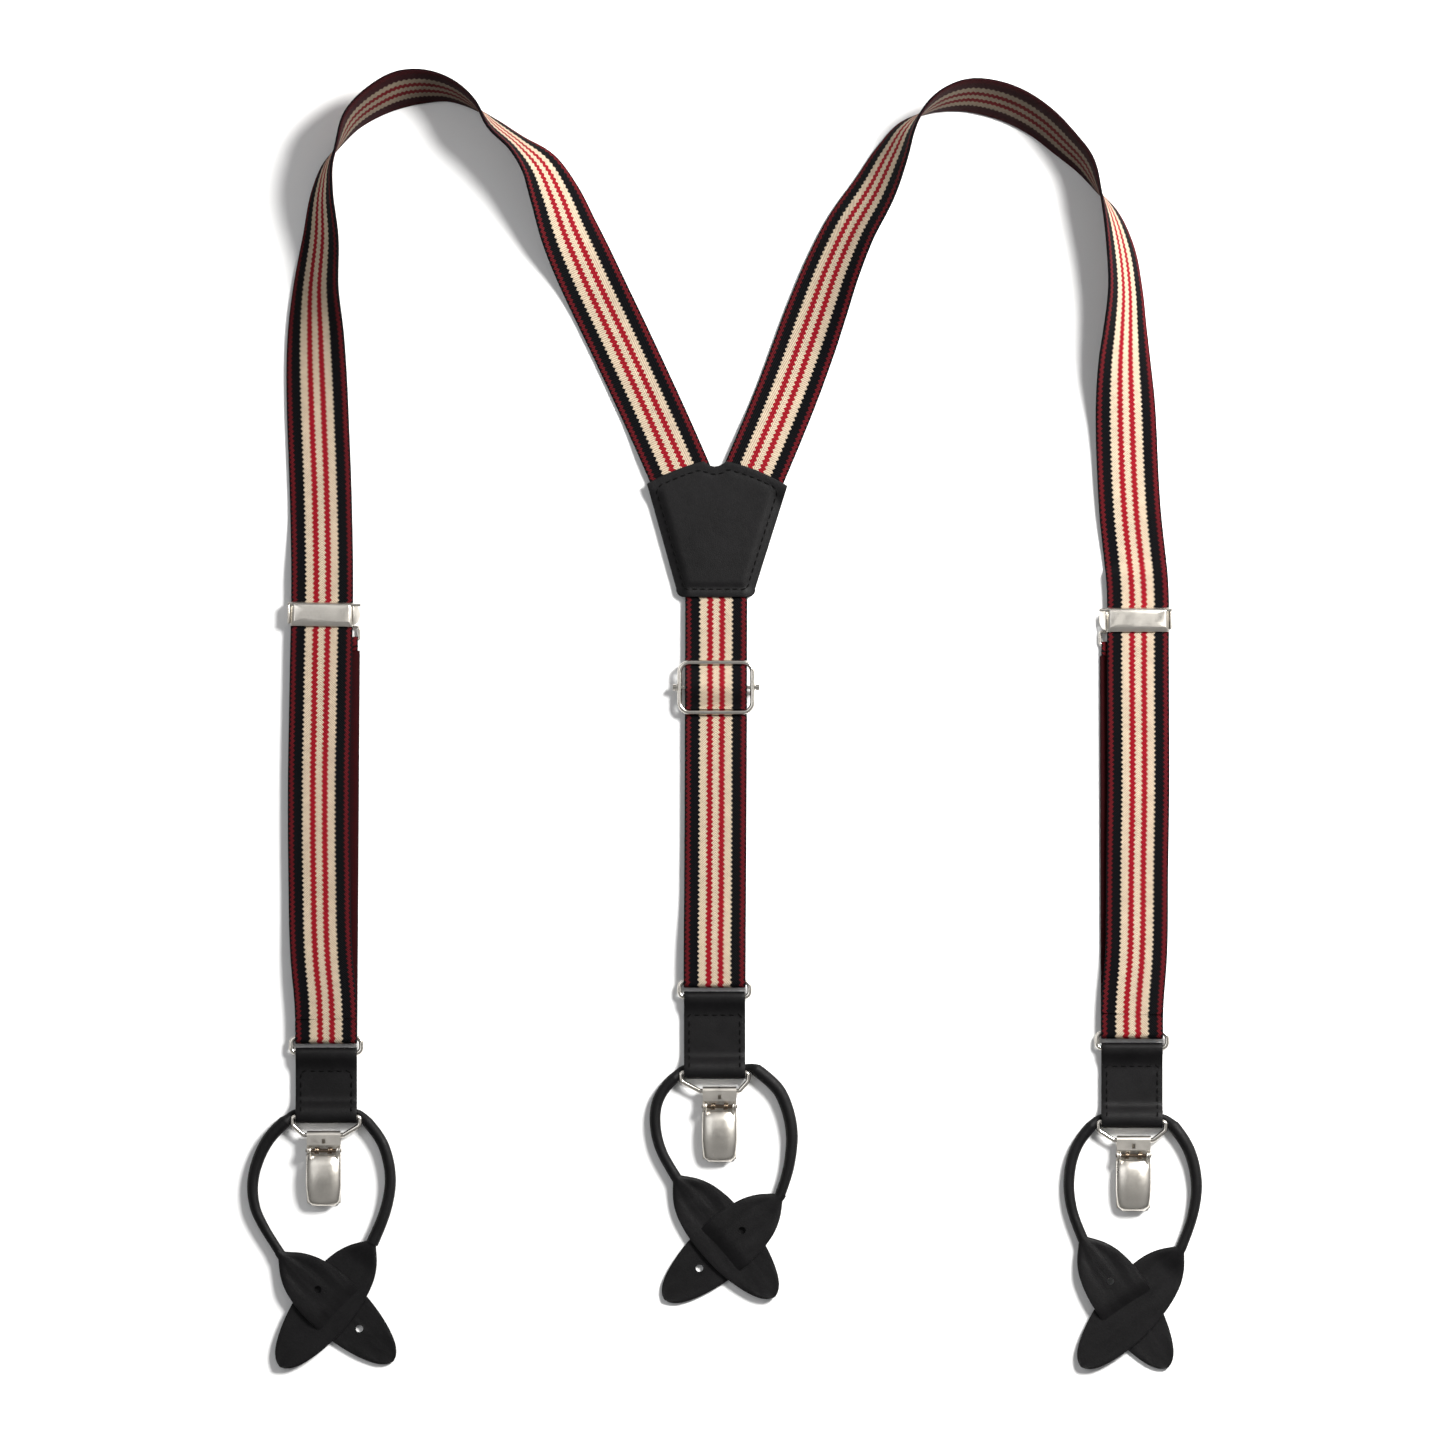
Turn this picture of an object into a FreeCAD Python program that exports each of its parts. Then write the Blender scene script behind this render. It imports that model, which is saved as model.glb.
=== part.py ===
import FreeCAD, Part
import math
import os

# A pair of braces lying on its back on a table: +Z up, +Y towards the shoulder arches, +X to the
# right.  Lengths are in millimetres.  Everything is drawn on one drawing origin and moved at the
# end, so that the origin is the middle of the box round the braces, on the table.

V = FreeCAD.Vector

# --- webbing and leather stock
WEB_WIDTH = 25.0
WEB_THICK = 1.3
LEATHER = 1.2
LIE = 0.0  # underside of what lies on the table

# --- wire fittings
WIRE_R = 0.95
RING_HALF_X = 14.1  # centre line of the oblong ring
RING_BARS = 6.2  # between its two bars
RING_CORNER = 2.2
FIT = 0.05  # running clearance on a wire or pin
TURN_IN = WIRE_R + 0.2  # webbing round a ring's bar, inside radius
RING_Z = LIE + TURN_IN + WEB_THICK

# --- end tab and clip wire
TAB_HALF = 12.35
CLIP_WIRE_HALF = 13.5
CLIP_WIRE_DROP = 7.3
CLIP_WIRE_Z = 3.65
FOLD_Z = 4.75  # inside height of the tab's lower fold

# --- clip
CLIP_HALF = 6.8
SHEET = 0.8
PIN_R = 0.7
PIN_Y = -6.2  # from the wire's lower bar
PIN_Z = 5.2
JAW_END = -28.5

# --- button loops
CORD_D = 4.6
CORD_Z = 2.4
CORE_R = 1.15
CORE_HALF = 15.8
CORE_RISE = 4.7  # above the tab's lower edge
LEAF_LENGTH = 62.0
LEAF_THICK = 1.3
LEAF_Z = 2.05  # middle of the slit leaf
DIVE_RISE = 1.1
DIVE_DROP = 2.8
DIVE_FROM = 26.0  # from the neck to where the diving leaf enters the slit
HOLE_R = 1.5
HOLES_AT = {"back_right": (20.0, 43.0), "left_left": (20.0, 43.0), "right_left": (20.0,)}
# distance from the neck, half width
LEAF_HALF_WIDTHS = (
    (0.0, 2.1),
    (5.0, 6.2),
    (10.0, 8.9),
    (16.0, 10.6),
    (23.0, 11.5),
    (26.0, 11.6),
    (37.0, 11.3),
    (44.0, 10.1),
    (50.0, 8.6),
    (55.0, 6.6),
    (59.0, 4.4),
    (LEAF_LENGTH, 1.2),
)

# --- front straps: from the ring up over the shoulder to the patch.  Each row is a place on the
# middle line and how far the strap has rolled on its long axis, in degrees, its inner edge rising.
# The right strap is drawn on the left and mirrored.
LEFT_RUN = (
    (-161.1, -119.0, 0),
    (-162.7, -96.4, 0),
    (-163.7, -60.1, 0),
    (-163.8, -19.8, 0),
    (-163.37, 4.4, 0),
    (-162.93, 28.6, 0),
    (-162.5, 52.8, 0),
    (-163.1, 89.1, 0),
    (-164.5, 129.4, 6),
    (-165.0, 153.6, 22),
    (-164.9, 173.8, 42),
    (-163.0, 194.0, 54),
    (-162.1, 214.1, 71),
    (-160.3, 223.0, 80),
    (-156.2, 231.4, 91),
    (-149.8, 242.3, 108),
    (-140.1, 250.0, 118),
    (-130.4, 254.4, 123),
    (-120.8, 255.4, 119),
    (-111.1, 253.8, 108),
    (-101.4, 248.2, 95),
    (-94.2, 240.7, 80),
    (-83.5, 232.0, 72),
    (-75.0, 223.6, 54),
    (-68.6, 211.3, 37),
    (-63.0, 197.0, 21),
    (-56.2, 181.8, 6),
    (-40.9, 149.6, 0),
    (-26.0, 117.3, 0),
    (-16.9, 96.6, 0),
)
RIGHT_RUN = (
    (-164.1, -117.0, 0),
    (-165.3, -96.4, 0),
    (-165.9, -60.1, 0),
    (-166.4, -19.8, 0),
    (-166.3, 4.4, 0),
    (-166.2, 28.6, 0),
    (-166.1, 52.8, 0),
    (-163.0, 85.1, 4),
    (-161.2, 125.4, 14),
    (-160.7, 145.6, 33),
    (-160.9, 157.6, 45),
    (-160.9, 173.8, 56),
    (-159.0, 189.9, 63),
    (-154.6, 205.0, 77),
    (-150.6, 212.9, 90),
    (-143.9, 225.0, 108),
    (-136.5, 232.6, 115),
    (-126.8, 241.3, 120),
    (-117.1, 247.2, 123),
    (-107.5, 250.6, 123),
    (-97.8, 251.8, 119),
    (-88.1, 249.8, 108),
    (-79.6, 245.1, 92),
    (-72.4, 238.0, 73),
    (-67.5, 229.2, 60),
    (-59.9, 214.1, 46),
    (-50.2, 198.0, 36),
    (-42.9, 181.8, 27),
    (-37.0, 165.7, 16),
    (-31.3, 149.6, 5),
    (-25.4, 133.5, 0),
    (-18.9, 117.3, 0),
    (-9.9, 96.0, 0),
)
FRONT_LIFT = 2.4  # underside of the front layer where an adjuster slides below it
RING_RISE_FROM = -70.0
RING_RISE = 40.0
ADJUSTER_PASSED = 56.0
ADJUSTER_FALL = 30.0
SECTION_STEP = 9.0

# --- back strap
BACK_TOP = (-3.7, 56.0)
BACK_RING = (-4.4, -105.0)
BACK_LIFT = 1.6

# --- the three ends: place of the ring's upper bar, tab length, clip's sideways set
ENDS = {
    "left": ((-160.9, -127.6), 28.2, -1.0),
    "right": ((163.8, -125.6), 32.2, 0.6),
    "back": ((-4.4, -105.0), 33.0, 2.0),
}
# each button loop's two rolled arms, as routes from the tab to the leaf
ARMS = {
    "back_left": ((-20.8, -143.9), (-24.8, -147.6), (-28.4, -155.2), (-28.4, -164.9),
                  (-26.0, -173.4), (-22.4, -179.8), (-19.6, -184.3)),
    "back_right": ((12.2, -140.4), (20.0, -146.0), (24.4, -154.0), (27.0, -164.9),
                   (26.4, -175.0), (24.6, -183.9), (21.6, -191.9)),
    "left_left": ((-177.4, -161.3), (-182.5, -165.7), (-187.7, -174.2), (-190.9, -185.1),
                  (-190.1, -195.6), (-186.5, -203.2), (-182.5, -209.7), (-178.8, -215.3)),
    "left_right": ((-144.4, -161.5), (-139.3, -167.3), (-136.1, -175.4), (-134.7, -185.1),
                   (-136.1, -194.3), (-138.9, -202.8), (-142.5, -210.5)),
    "right_left": ((147.3, -163.2), (142.9, -168.1), (139.3, -176.6), (138.1, -186.7),
                   (139.1, -195.2), (141.3, -202.4), (144.1, -208.9)),
    "right_right": ((180.3, -163.0), (184.9, -168.5), (188.5, -177.0), (190.1, -186.7),
                    (189.1, -196.0), (186.7, -204.8), (183.3, -212.9)),
}
# each leaf's neck and tip; the diving leaf passes down through the slit in the other one
LEAVES = {
    "back_left": ((-19.6, -184.3), (20.4, -232.6), "slit"),
    "back_right": ((21.6, -191.9), (-23.2, -231.8), "dive"),
    "left_left": ((-178.8, -215.3), (-134.1, -257.6), "dive"),
    "left_right": ((-142.5, -210.5), (-176.8, -256.4), "slit"),
    "right_left": ((144.1, -208.9), (178.4, -260.5), "dive"),
    "right_right": ((183.3, -212.9), (143.7, -259.7), "slit"),
}

# --- front adjusters: place on the strap, and the strap's lean there
ADJUSTERS = {"left": ((-162.67, 43.1), -1.02), "right": ((166.14, 40.9), 0.24)}
ADJ_HALF = 12.5
ADJ_INNER = 15.6  # how far the frame reaches towards the middle of the body
ADJ_OUTER = 13.7
LEVER_PIN = (3.9, 5.0)
LEVER_PIN_R = 0.6
LOOP_R = 0.6
LOOP_Z = 1.15
RETURN_SHIFT = 2.8  # the returning layer lies this far towards the middle of the body

# --- back slide
SLIDE_AT = (-3.8, 13.6)
SLIDE_HALF_X = 14.65
SLIDE_HALF_Y = 10.05
SLIDE_Z = BACK_LIFT + WEB_THICK + 0.1 + WIRE_R
SLIDE_CORNER = 4.0

PATCH_REAR_Z = LIE
PATCH_FRONT_Z = 2.9

parts = {}


def box(x0, x1, y0, y1, z0, z1):
    return Part.makeBox(x1 - x0, y1 - y0, z1 - z0, V(x0, y0, z0))


def rod(r, start, end):
    way = end - start
    return Part.makeCylinder(r, way.Length, start, way)


def across(points, half_x):
    """A solid whose outline in (y, z) runs right across the part, from side to side."""
    ring = [V(-half_x, y, z) for y, z in points]
    face = Part.Face(Part.makePolygon(ring + ring[:1]))
    return face.extrude(V(2 * half_x, 0, 0))


def rounded(points, radii):
    """The closed line through points, with each corner rounded to its own radius."""
    n = len(points)
    ends = []
    for i in range(n):
        a, p, b = points[i - 1], points[i], points[(i + 1) % n]
        to_a = (a - p).normalize()
        to_b = (b - p).normalize()
        half = to_a.getAngle(to_b) / 2
        back = radii[i] / math.tan(half)
        start = p + to_a * back
        end = p + to_b * back
        middle = p + (to_a + to_b).normalize() * (radii[i] / math.sin(half) - radii[i])
        ends.append((start, middle, end))
    edges = []
    for i in range(n):
        start, middle, end = ends[i]
        edges.append(Part.Arc(start, middle, end).toShape())
        edges.append(Part.LineSegment(end, ends[(i + 1) % n][0]).toShape())
    return edges


def wire_frame(points, radii, r):
    """A closed frame of round wire along rounded(points), made edge by edge."""
    solids = []
    for edge in rounded(points, radii):
        at = edge.valueAt(edge.FirstParameter)
        way = edge.tangentAt(edge.FirstParameter)
        disc = Part.Wire(Part.Circle(at, way, r).toShape())
        solids.append(Part.Wire(edge).makePipeShell([disc], True, False))
    return solids[0].multiFuse(solids[1:]).removeSplitter().Solids[0]


def half_tube(y, z, r_in, r_out, half_x, side):
    """Half of a tube that lies across the part, on the +y or -y side of its axis."""
    start = V(-half_x, y, z)
    along = V(1, 0, 0)
    tube = Part.makeCylinder(r_out, 2 * half_x, start, along)
    tube = tube.cut(Part.makeCylinder(r_in, 2 * half_x, start, along))
    y0, y1 = sorted((y, y + side * 2 * r_out))
    keep = box(-half_x, half_x, y0, y1, z - r_out, z + r_out)
    return tube.common(keep)


def smooth(rows, steps):
    """Points on a smooth line through rows of numbers, and the share of its length at each."""
    spline = Part.BSplineCurve()
    spline.interpolate([V(*row) for row in rows])
    first, last = spline.FirstParameter, spline.LastParameter
    return [spline.value(first + (last - first) * i / steps) for i in range(steps + 1)]


def ease(t):
    t = min(1.0, max(0.0, t))
    return t * t * (3 - 2 * t)


def front_lift(y, rolled):
    """Height of the strap's underside on the way up to the shoulder: above the returning layer and
    the adjuster's frame, rising to the ring, and on the table past the adjuster."""
    if rolled > 0.01:
        return LIE
    if y < 0:
        near_ring = ease((RING_RISE_FROM - y) / RING_RISE)
        return FRONT_LIFT + near_ring * (RING_Z + TURN_IN - FRONT_LIFT)
    return LIE + (FRONT_LIFT - LIE) * (1 - ease((y - ADJUSTER_PASSED) / ADJUSTER_FALL))


def front_strap(run, patch_y):
    """One front strap, rolled on its long axis as it goes over the shoulder."""
    length = sum(math.dist(a[:2], b[:2]) for a, b in zip(run, run[1:]))
    steps = round(length / SECTION_STEP)
    line = smooth(run, steps)
    past_arch = False
    sections = []
    for i, p in enumerate(line):
        ahead, behind = line[min(i + 1, steps)], line[max(i - 1, 0)]
        way = V(ahead.x - behind.x, ahead.y - behind.y, 0).normalize()
        roll = math.radians(max(p.z, 0.0))
        side = way.cross(V(0, 0, 1))
        wide = side * math.cos(roll) + V(0, 0, 1) * math.sin(roll)
        thick = wide.cross(way)
        past_arch = past_arch or p.z > 100
        if past_arch:
            lift = LIE + (PATCH_REAR_Z + LEATHER + 0.1) * ease((patch_y + 30 - p.y) / 20)
        else:
            lift = front_lift(p.y, roll)
        middle = V(p.x, p.y, lift)
        middle.z += WEB_WIDTH / 2 * abs(math.sin(roll)) + WEB_THICK / 2 * abs(math.cos(roll))
        w, t = wide * (WEB_WIDTH / 2), thick * (WEB_THICK / 2)
        corners = [middle - w - t, middle + w - t, middle + w + t, middle - w + t]
        sections.append(Part.makePolygon(corners + corners[:1]))
    return Part.makeLoft(sections, True, True)


def back_strap():
    """The single strap from the patch to its ring, level but for the rise to the ring."""
    (x0, y0), (x1, y1) = BACK_TOP, BACK_RING
    heights = ((y0, 1.35), (42.0, BACK_LIFT), (-62.0, BACK_LIFT), (y1 + 9, RING_Z + TURN_IN))
    sections = []
    for y, z in heights:
        x = x0 + (x1 - x0) * (y - y0) / (y1 - y0)
        h = WEB_WIDTH / 2
        low, high = z, z + WEB_THICK
        corners = [V(x - h, y, low), V(x + h, y, low), V(x + h, y, high), V(x - h, y, high)]
        sections.append(Part.makePolygon(corners + corners[:1]))
    return Part.makeLoft(sections, True, True)


def webbing_return(top_y, top_shift):
    """Webbing from the front layer, round the ring's upper bar and back up behind: (0, 0) is on
    the bar's axis."""
    half = WEB_WIDTH / 2
    turn = half_tube(0, RING_Z, TURN_IN, TURN_IN + WEB_THICK, half, -1)
    front = box(-half, half, 0, 7.5, RING_Z + TURN_IN, RING_Z + TURN_IN + WEB_THICK)
    corners = [V(-half, 0, LIE), V(half, 0, LIE), V(half + top_shift, top_y, LIE)]
    corners.append(V(-half + top_shift, top_y, LIE))
    rear = Part.Face(Part.makePolygon(corners + corners[:1])).extrude(V(0, 0, WEB_THICK))
    return turn.multiFuse([front, rear]).removeSplitter()


def ring():
    x, y = RING_HALF_X, RING_BARS
    corners = [V(-x, 0, RING_Z), V(x, 0, RING_Z), V(x, -y, RING_Z), V(-x, -y, RING_Z)]
    return wire_frame(corners, [RING_CORNER] * 4, WIRE_R)


def end_tab(length):
    """Leather folded over the ring's lower bar, its layers sewn together, with a fold below that
    holds the clip's wire and the flat middle of the button loop."""
    top, bottom = -RING_BARS, -RING_BARS - length
    r_in = WIRE_R + 0.1
    r_out = r_in + LEATHER
    floor = LIE + LEATHER
    eye = half_tube(top, RING_Z, r_in, r_out, TAB_HALF, 1)
    outside = [
        (top, RING_Z - r_out),
        (top, RING_Z + r_out),
        (top - 7, floor + LEATHER + 0.1),
        (bottom + 9, floor + LEATHER + 0.1),
        (bottom + 5, FOLD_Z + LEATHER),
        (bottom + 1.2, FOLD_Z + LEATHER),
        (bottom, FOLD_Z),
        (bottom, LIE + 0.6),
        (bottom + 0.6, LIE),
        (top - 3, LIE),
    ]
    upper_room = [
        (top + 0.01, RING_Z - r_in),
        (top + 0.01, RING_Z + r_in),
        (top - 6, floor + 0.1),
        (top - 6, floor),
        (top - 3, floor),
    ]
    lower_room = [
        (bottom + 8.6, floor),
        (bottom + 8.6, floor + 0.15),
        (bottom + 4.6, FOLD_Z),
        (bottom + LEATHER, FOLD_Z),
        (bottom + LEATHER, floor),
    ]
    body = across(outside, TAB_HALF)
    for room in (upper_room, lower_room):
        body = body.cut(across(room, TAB_HALF + 1))
    return body.fuse(eye).removeSplitter()


def clip_wire(set_x):
    """Trapezoid wire from the tab's fold to the clip: (0, 0) is on its upper bar."""
    wide, narrow = CLIP_WIRE_HALF, CLIP_HALF + 1.2
    z = CLIP_WIRE_Z
    points = [
        V(-wide, 0, z),
        V(wide, 0, z),
        V(wide, -3.4, z),
        V(narrow + set_x, -CLIP_WIRE_DROP, z),
        V(-narrow + set_x, -CLIP_WIRE_DROP, z),
        V(-wide, -3.4, z),
    ]
    return wire_frame(points, [1.0, 1.0, 1.8, 1.0, 1.0, 1.8], WIRE_R)


def clip_parts():
    """The clip's five pieces: (0, 0) is on the axis of the wire bar that it hangs on."""
    z = CLIP_WIRE_Z
    roll_in = WIRE_R + FIT
    roll_out = roll_in + SHEET
    low = 0.6
    roll = Part.makeCylinder(roll_out, 2 * CLIP_HALF, V(-CLIP_HALF, 0, z), V(1, 0, 0))
    tongue = across([(-4.1, z + roll_in), (0, z + roll_in), (0, z + roll_out),
                     (-4.1, z + roll_out)], CLIP_HALF)
    rear = across([(0, z - roll_out), (0, z - roll_in), (-3.4, low + SHEET), (-27.5, low + SHEET),
                   (-27.5, low), (-3.4, low)], CLIP_HALF)
    slot = box(-0.7, 0.7, -3.4, -1.4, z + roll_in - 1, z + roll_out + 1)
    body = roll.multiFuse([tongue, rear])
    for side in (-1, 1):
        x0, x1 = sorted((side * CLIP_HALF, side * (CLIP_HALF - SHEET)))
        lug = box(x0, x1, PIN_Y - 1.9, PIN_Y + 1.9, low, PIN_Z)
        lug = lug.fuse(rod(1.9, V(x0, PIN_Y, PIN_Z), V(x1, PIN_Y, PIN_Z)))
        body = body.fuse(lug)
    body = body.cut(rod(roll_in, V(-CLIP_HALF - 1, 0, z), V(CLIP_HALF + 1, 0, z)))
    body = body.cut(slot)
    body = body.cut(rod(PIN_R, V(-9, PIN_Y, PIN_Z), V(9, PIN_Y, PIN_Z))).removeSplitter()

    pin = rod(PIN_R, V(-CLIP_HALF - 0.4, PIN_Y, PIN_Z), V(CLIP_HALF + 0.4, PIN_Y, PIN_Z))

    # front jaw: a bowed cover with a lip that bites on the pad, on two eyes round the pin
    top, end = PIN_Y - 2.1, JAW_END
    bow = [(top, 5.9), (-11.0, 6.9), (-16.0, 7.2), (-22.0, 6.7), (end + 1.5, 5.4), (end, 4.4),
           (end, 2.25), (end + SHEET, 2.25), (end + SHEET, 4.2), (end + 2.1, 4.8),
           (-22.0, 5.9), (-16.0, 6.4), (-11.0, 6.1), (top, 5.1)]
    jaw = across(bow, CLIP_HALF + 0.2)
    for side in (-1, 1):
        x0, x1 = sorted((side * (CLIP_HALF - SHEET - 0.1), side * (CLIP_HALF - 2 * SHEET - 0.1)))
        eye = rod(1.5, V(x0, PIN_Y, PIN_Z), V(x1, PIN_Y, PIN_Z))
        arm = box(x0, x1, top - 2.0, PIN_Y, PIN_Z - 0.6, PIN_Z + 0.7)
        jaw = jaw.multiFuse([eye, arm])
    jaw = jaw.cut(rod(PIN_R + FIT, V(-9, PIN_Y, PIN_Z), V(9, PIN_Y, PIN_Z))).removeSplitter()

    turns = [Part.makeTorus(PIN_R + 0.45, 0.3, V(x, PIN_Y, PIN_Z), V(1, 0, 0))
             for x in (-3.2, -2.56, -1.92, 1.92, 2.56, 3.2)]
    spring = Part.makeCompound(turns)

    pad = box(-CLIP_HALF + 0.5, CLIP_HALF - 0.5, end + 1.4, end + 8.0, low + SHEET, 2.15)
    for i in range(4):
        y = end + 2.6 + 1.4 * i
        pad = pad.cut(box(-9, 9, y, y + 0.5, 1.8, 3))
    return {"body": body, "pin": pin, "jaw": jaw, "spring": spring, "pad": pad}


def arm_path(points):
    """A rolled leather arm's middle line: straight runs joined by tangent arcs."""
    edges = []
    start = points[0]
    radii = []
    for a, p, b in zip(points, points[1:], points[2:]):
        to_a, to_b = (a - p), (b - p)
        shorter = min(to_a.Length, to_b.Length)
        to_a.normalize()
        to_b.normalize()
        half_turn = (math.pi - to_a.getAngle(to_b)) / 2
        radius = 0.45 * shorter / math.tan(half_turn)
        radii.append(round(radius, 1))
        back = 0.45 * shorter
        into, out = p + to_a * back, p + to_b * back
        sag = radius / math.cos(half_turn) - radius
        middle = p + (to_a + to_b).normalize() * sag
        edges.append(Part.LineSegment(start, into).toShape())
        edges.append(Part.Arc(into, middle, out).toShape())
        start = out
    edges.append(Part.LineSegment(start, points[-1]).toShape())
    return Part.Wire(edges), radii


def rolled_arm(name):
    points = [V(x, y, CORD_Z) for x, y in ARMS[name]]
    path, radii = arm_path(points)
    disc = Part.Wire(Part.Circle(points[0], points[1] - points[0], CORD_D / 2).toShape())
    tube = path.makePipeShell([disc], True, False)
    share = tube.Volume / (math.pi * (CORD_D / 2) ** 2 * path.Length)
    print("arm", name, "length", round(path.Length, 1), "radii", radii, "volume", round(share, 3))
    return tube


def leaf(name, thick, spare):
    """A leather leaf from its neck to its tip.  The diving leaf comes down halfway along."""
    (x0, y0), (x1, y1), kind = LEAVES[name]
    way = V(x1 - x0, y1 - y0, 0).normalize()
    side = V(0, 0, 1).cross(way)
    sections = []
    for s, half in LEAF_HALF_WIDTHS:
        z = LEAF_Z
        if kind == "dive":
            z = CORD_Z + DIVE_RISE * ease(s / 12) - DIVE_DROP * ease((s - DIVE_FROM) / 11)
        at = V(x0, y0, z) + way * s
        w, t = side * (half + spare), V(0, 0, thick / 2)
        corners = [at - w - t, at + w - t, at + w + t, at - w + t]
        sections.append(Part.makePolygon(corners + corners[:1]))
    solid = Part.makeLoft(sections, True, True)
    if not spare:
        for s in HOLES_AT.get(name, ()):
            at = V(x0, y0, -1) + way * s
            solid = solid.cut(Part.makeCylinder(HOLE_R, 8, at))
    return solid


def loop_core(starts):
    """The thin rolled middle of a button loop, in the tab's lower fold, with its two ends turned
    down to where the arms start."""
    core = rod(CORE_R, V(-CORE_HALF, 0, CORD_Z), V(CORE_HALF, 0, CORD_Z))
    for side, start in zip((-1, 1), starts):
        corner = V(side * CORE_HALF, 0, CORD_Z)
        end = Part.makeSphere(CORE_R, corner).fuse(rod(CORE_R, corner, start))
        core = core.fuse(end)
    return core.removeSplitter()


def adjuster_parts():
    """One front adjuster: (0, 0) is on the strap's middle, +x towards the middle of the body."""
    y_pin, z_pin = LEVER_PIN
    plate = box(-ADJ_OUTER, ADJ_INNER, -4.0, 4.0, 0.75, 1.65)
    walls = []
    for x0 in (-ADJ_OUTER, ADJ_INNER - SHEET):
        wall = box(x0, x0 + SHEET, -4.0, 4.9, 0.75, z_pin)
        walls.append(wall.fuse(rod(1.0, V(x0, y_pin, z_pin), V(x0 + SHEET, y_pin, z_pin))))
    hook_in, hook_out = LOOP_R + FIT, LOOP_R + 0.5
    y_loop = -4.9
    hook = rod(hook_out, V(-6, y_loop, LOOP_Z), V(8, y_loop, LOOP_Z))
    base = plate.multiFuse(walls + [hook])
    base = base.cut(rod(hook_in, V(-20, y_loop, LOOP_Z), V(20, y_loop, LOOP_Z)))
    base = base.cut(rod(LEVER_PIN_R, V(-20, y_pin, z_pin), V(20, y_pin, z_pin))).removeSplitter()

    pin = rod(LEVER_PIN_R, V(-ADJ_OUTER, y_pin, z_pin), V(ADJ_INNER, y_pin, z_pin))

    y_low = -10.0
    points = [V(-10.4, y_loop, LOOP_Z), V(15.2, y_loop, LOOP_Z), V(15.2, y_low, LOOP_Z),
              V(-10.4, y_low, LOOP_Z)]
    loop = wire_frame(points, [0.9] * 4, LOOP_R)

    hem = box(-9.4, 14.2, y_low - 4.2, y_low + 1.2, LIE, 2.2)
    hem = hem.cut(rod(LOOP_R, V(-20, y_low, LOOP_Z), V(20, y_low, LOOP_Z)))

    z0 = FRONT_LIFT + WEB_THICK
    cover = across([(-4.9, z0 + 0.5), (4.7, z0 + 0.5), (4.9, z0 + 0.9), (3.6, z0 + 2.1),
                    (-3.6, z0 + 2.1), (-4.9, z0 + 1.1)], ADJ_HALF)
    tooth = across([(-3.6, z0 + 0.6), (-3.1, z0 + 0.05), (-2.6, z0 + 0.6)], ADJ_HALF - 1)
    lever = cover.fuse(tooth)
    lever = lever.cut(rod(LEVER_PIN_R + FIT, V(-20, y_pin, z_pin), V(20, y_pin, z_pin)))
    return {"base": base, "pin": pin, "loop": loop, "lever": lever.removeSplitter(), "hem": hem}


def patch(z):
    """The leather Y patch: arched top with a small scallop, straight sides, rounded foot."""
    tl, tr = V(-31.7, 95.6, z), V(25.0, 94.8, z)
    bump_l, notch, bump_r = V(-8.7, 104.8, z), V(-4.0, 103.0, z), V(0.2, 104.8, z)
    side_l, foot_l = V(-19.9, 53.4, z), V(-16.6, 50.0, z)
    foot_r, side_r = V(9.0, 50.0, z), V(12.0, 53.4, z)
    edges = [
        Part.Arc(tl, V(-19.8, 101.3, z), bump_l).toShape(),
        Part.Arc(bump_l, notch, bump_r).toShape(),
        Part.Arc(bump_r, V(12.9, 100.9, z), tr).toShape(),
        Part.LineSegment(tr, side_r).toShape(),
        Part.Arc(side_r, V(11.3, 51.0, z), foot_r).toShape(),
        Part.LineSegment(foot_r, foot_l).toShape(),
        Part.Arc(foot_l, V(-19.1, 51.0, z), side_l).toShape(),
        Part.LineSegment(side_l, tl).toShape(),
    ]
    return Part.Face(Part.Wire(edges)).extrude(V(0, 0, LEATHER))


def back_slide():
    """The slide's frame, its centre bar with riveted knobs, and the webbing over the bar."""
    x, y = SLIDE_AT
    a, b = SLIDE_HALF_X, SLIDE_HALF_Y
    points = [V(x + i * a, y + j * b, SLIDE_Z) for i, j in ((-1, -1), (1, -1), (1, 1), (-1, 1))]
    frame = wire_frame(points, [SLIDE_CORNER] * 4, WIRE_R)
    bar = rod(0.85, V(x - a - 2, y, SLIDE_Z), V(x + a + 2, y, SLIDE_Z))
    for side in (-1, 1):
        x0 = x + side * (a + 1.3)
        bar = bar.fuse(rod(1.35, V(x0, y, SLIDE_Z), V(x0 + side * 1.5, y, SLIDE_Z)))
    top = BACK_LIFT + WEB_THICK + 0.05
    over = SLIDE_Z + 1.0
    hump = [(-8.7, top), (-5.6, top), (-1.4, over), (1.4, over), (5.6, top), (8.7, top),
            (8.7, top + 0.4), (5.9, top + 1.2), (1.8, over + 1.2), (-1.8, over + 1.2),
            (-5.9, top + 1.2), (-8.7, top + 0.4)]
    cover = across(hump, WEB_WIDTH / 2 - 0.1)
    cover.translate(V(x, y, 0))
    return frame, bar.removeSplitter(), cover


def place(shape, x, y, lean=0.0):
    moved = shape.copy()
    moved.rotate(V(0, 0, 0), V(0, 0, 1), lean)
    moved.translate(V(x, y, 0))
    return moved


def mirrored(shape):
    return shape.mirror(V(0, 0, 0), V(1, 0, 0))


parts["webbing_front_left"] = front_strap(LEFT_RUN, LEFT_RUN[-1][1])
parts["webbing_front_right"] = mirrored(front_strap(RIGHT_RUN, RIGHT_RUN[-1][1]))
parts["webbing_back"] = back_strap()
parts["patch_rear"] = patch(PATCH_REAR_Z)
parts["patch_front"] = patch(PATCH_FRONT_Z)
parts["slide_frame"], parts["slide_bar"], parts["webbing_over_bar"] = back_slide()

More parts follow.
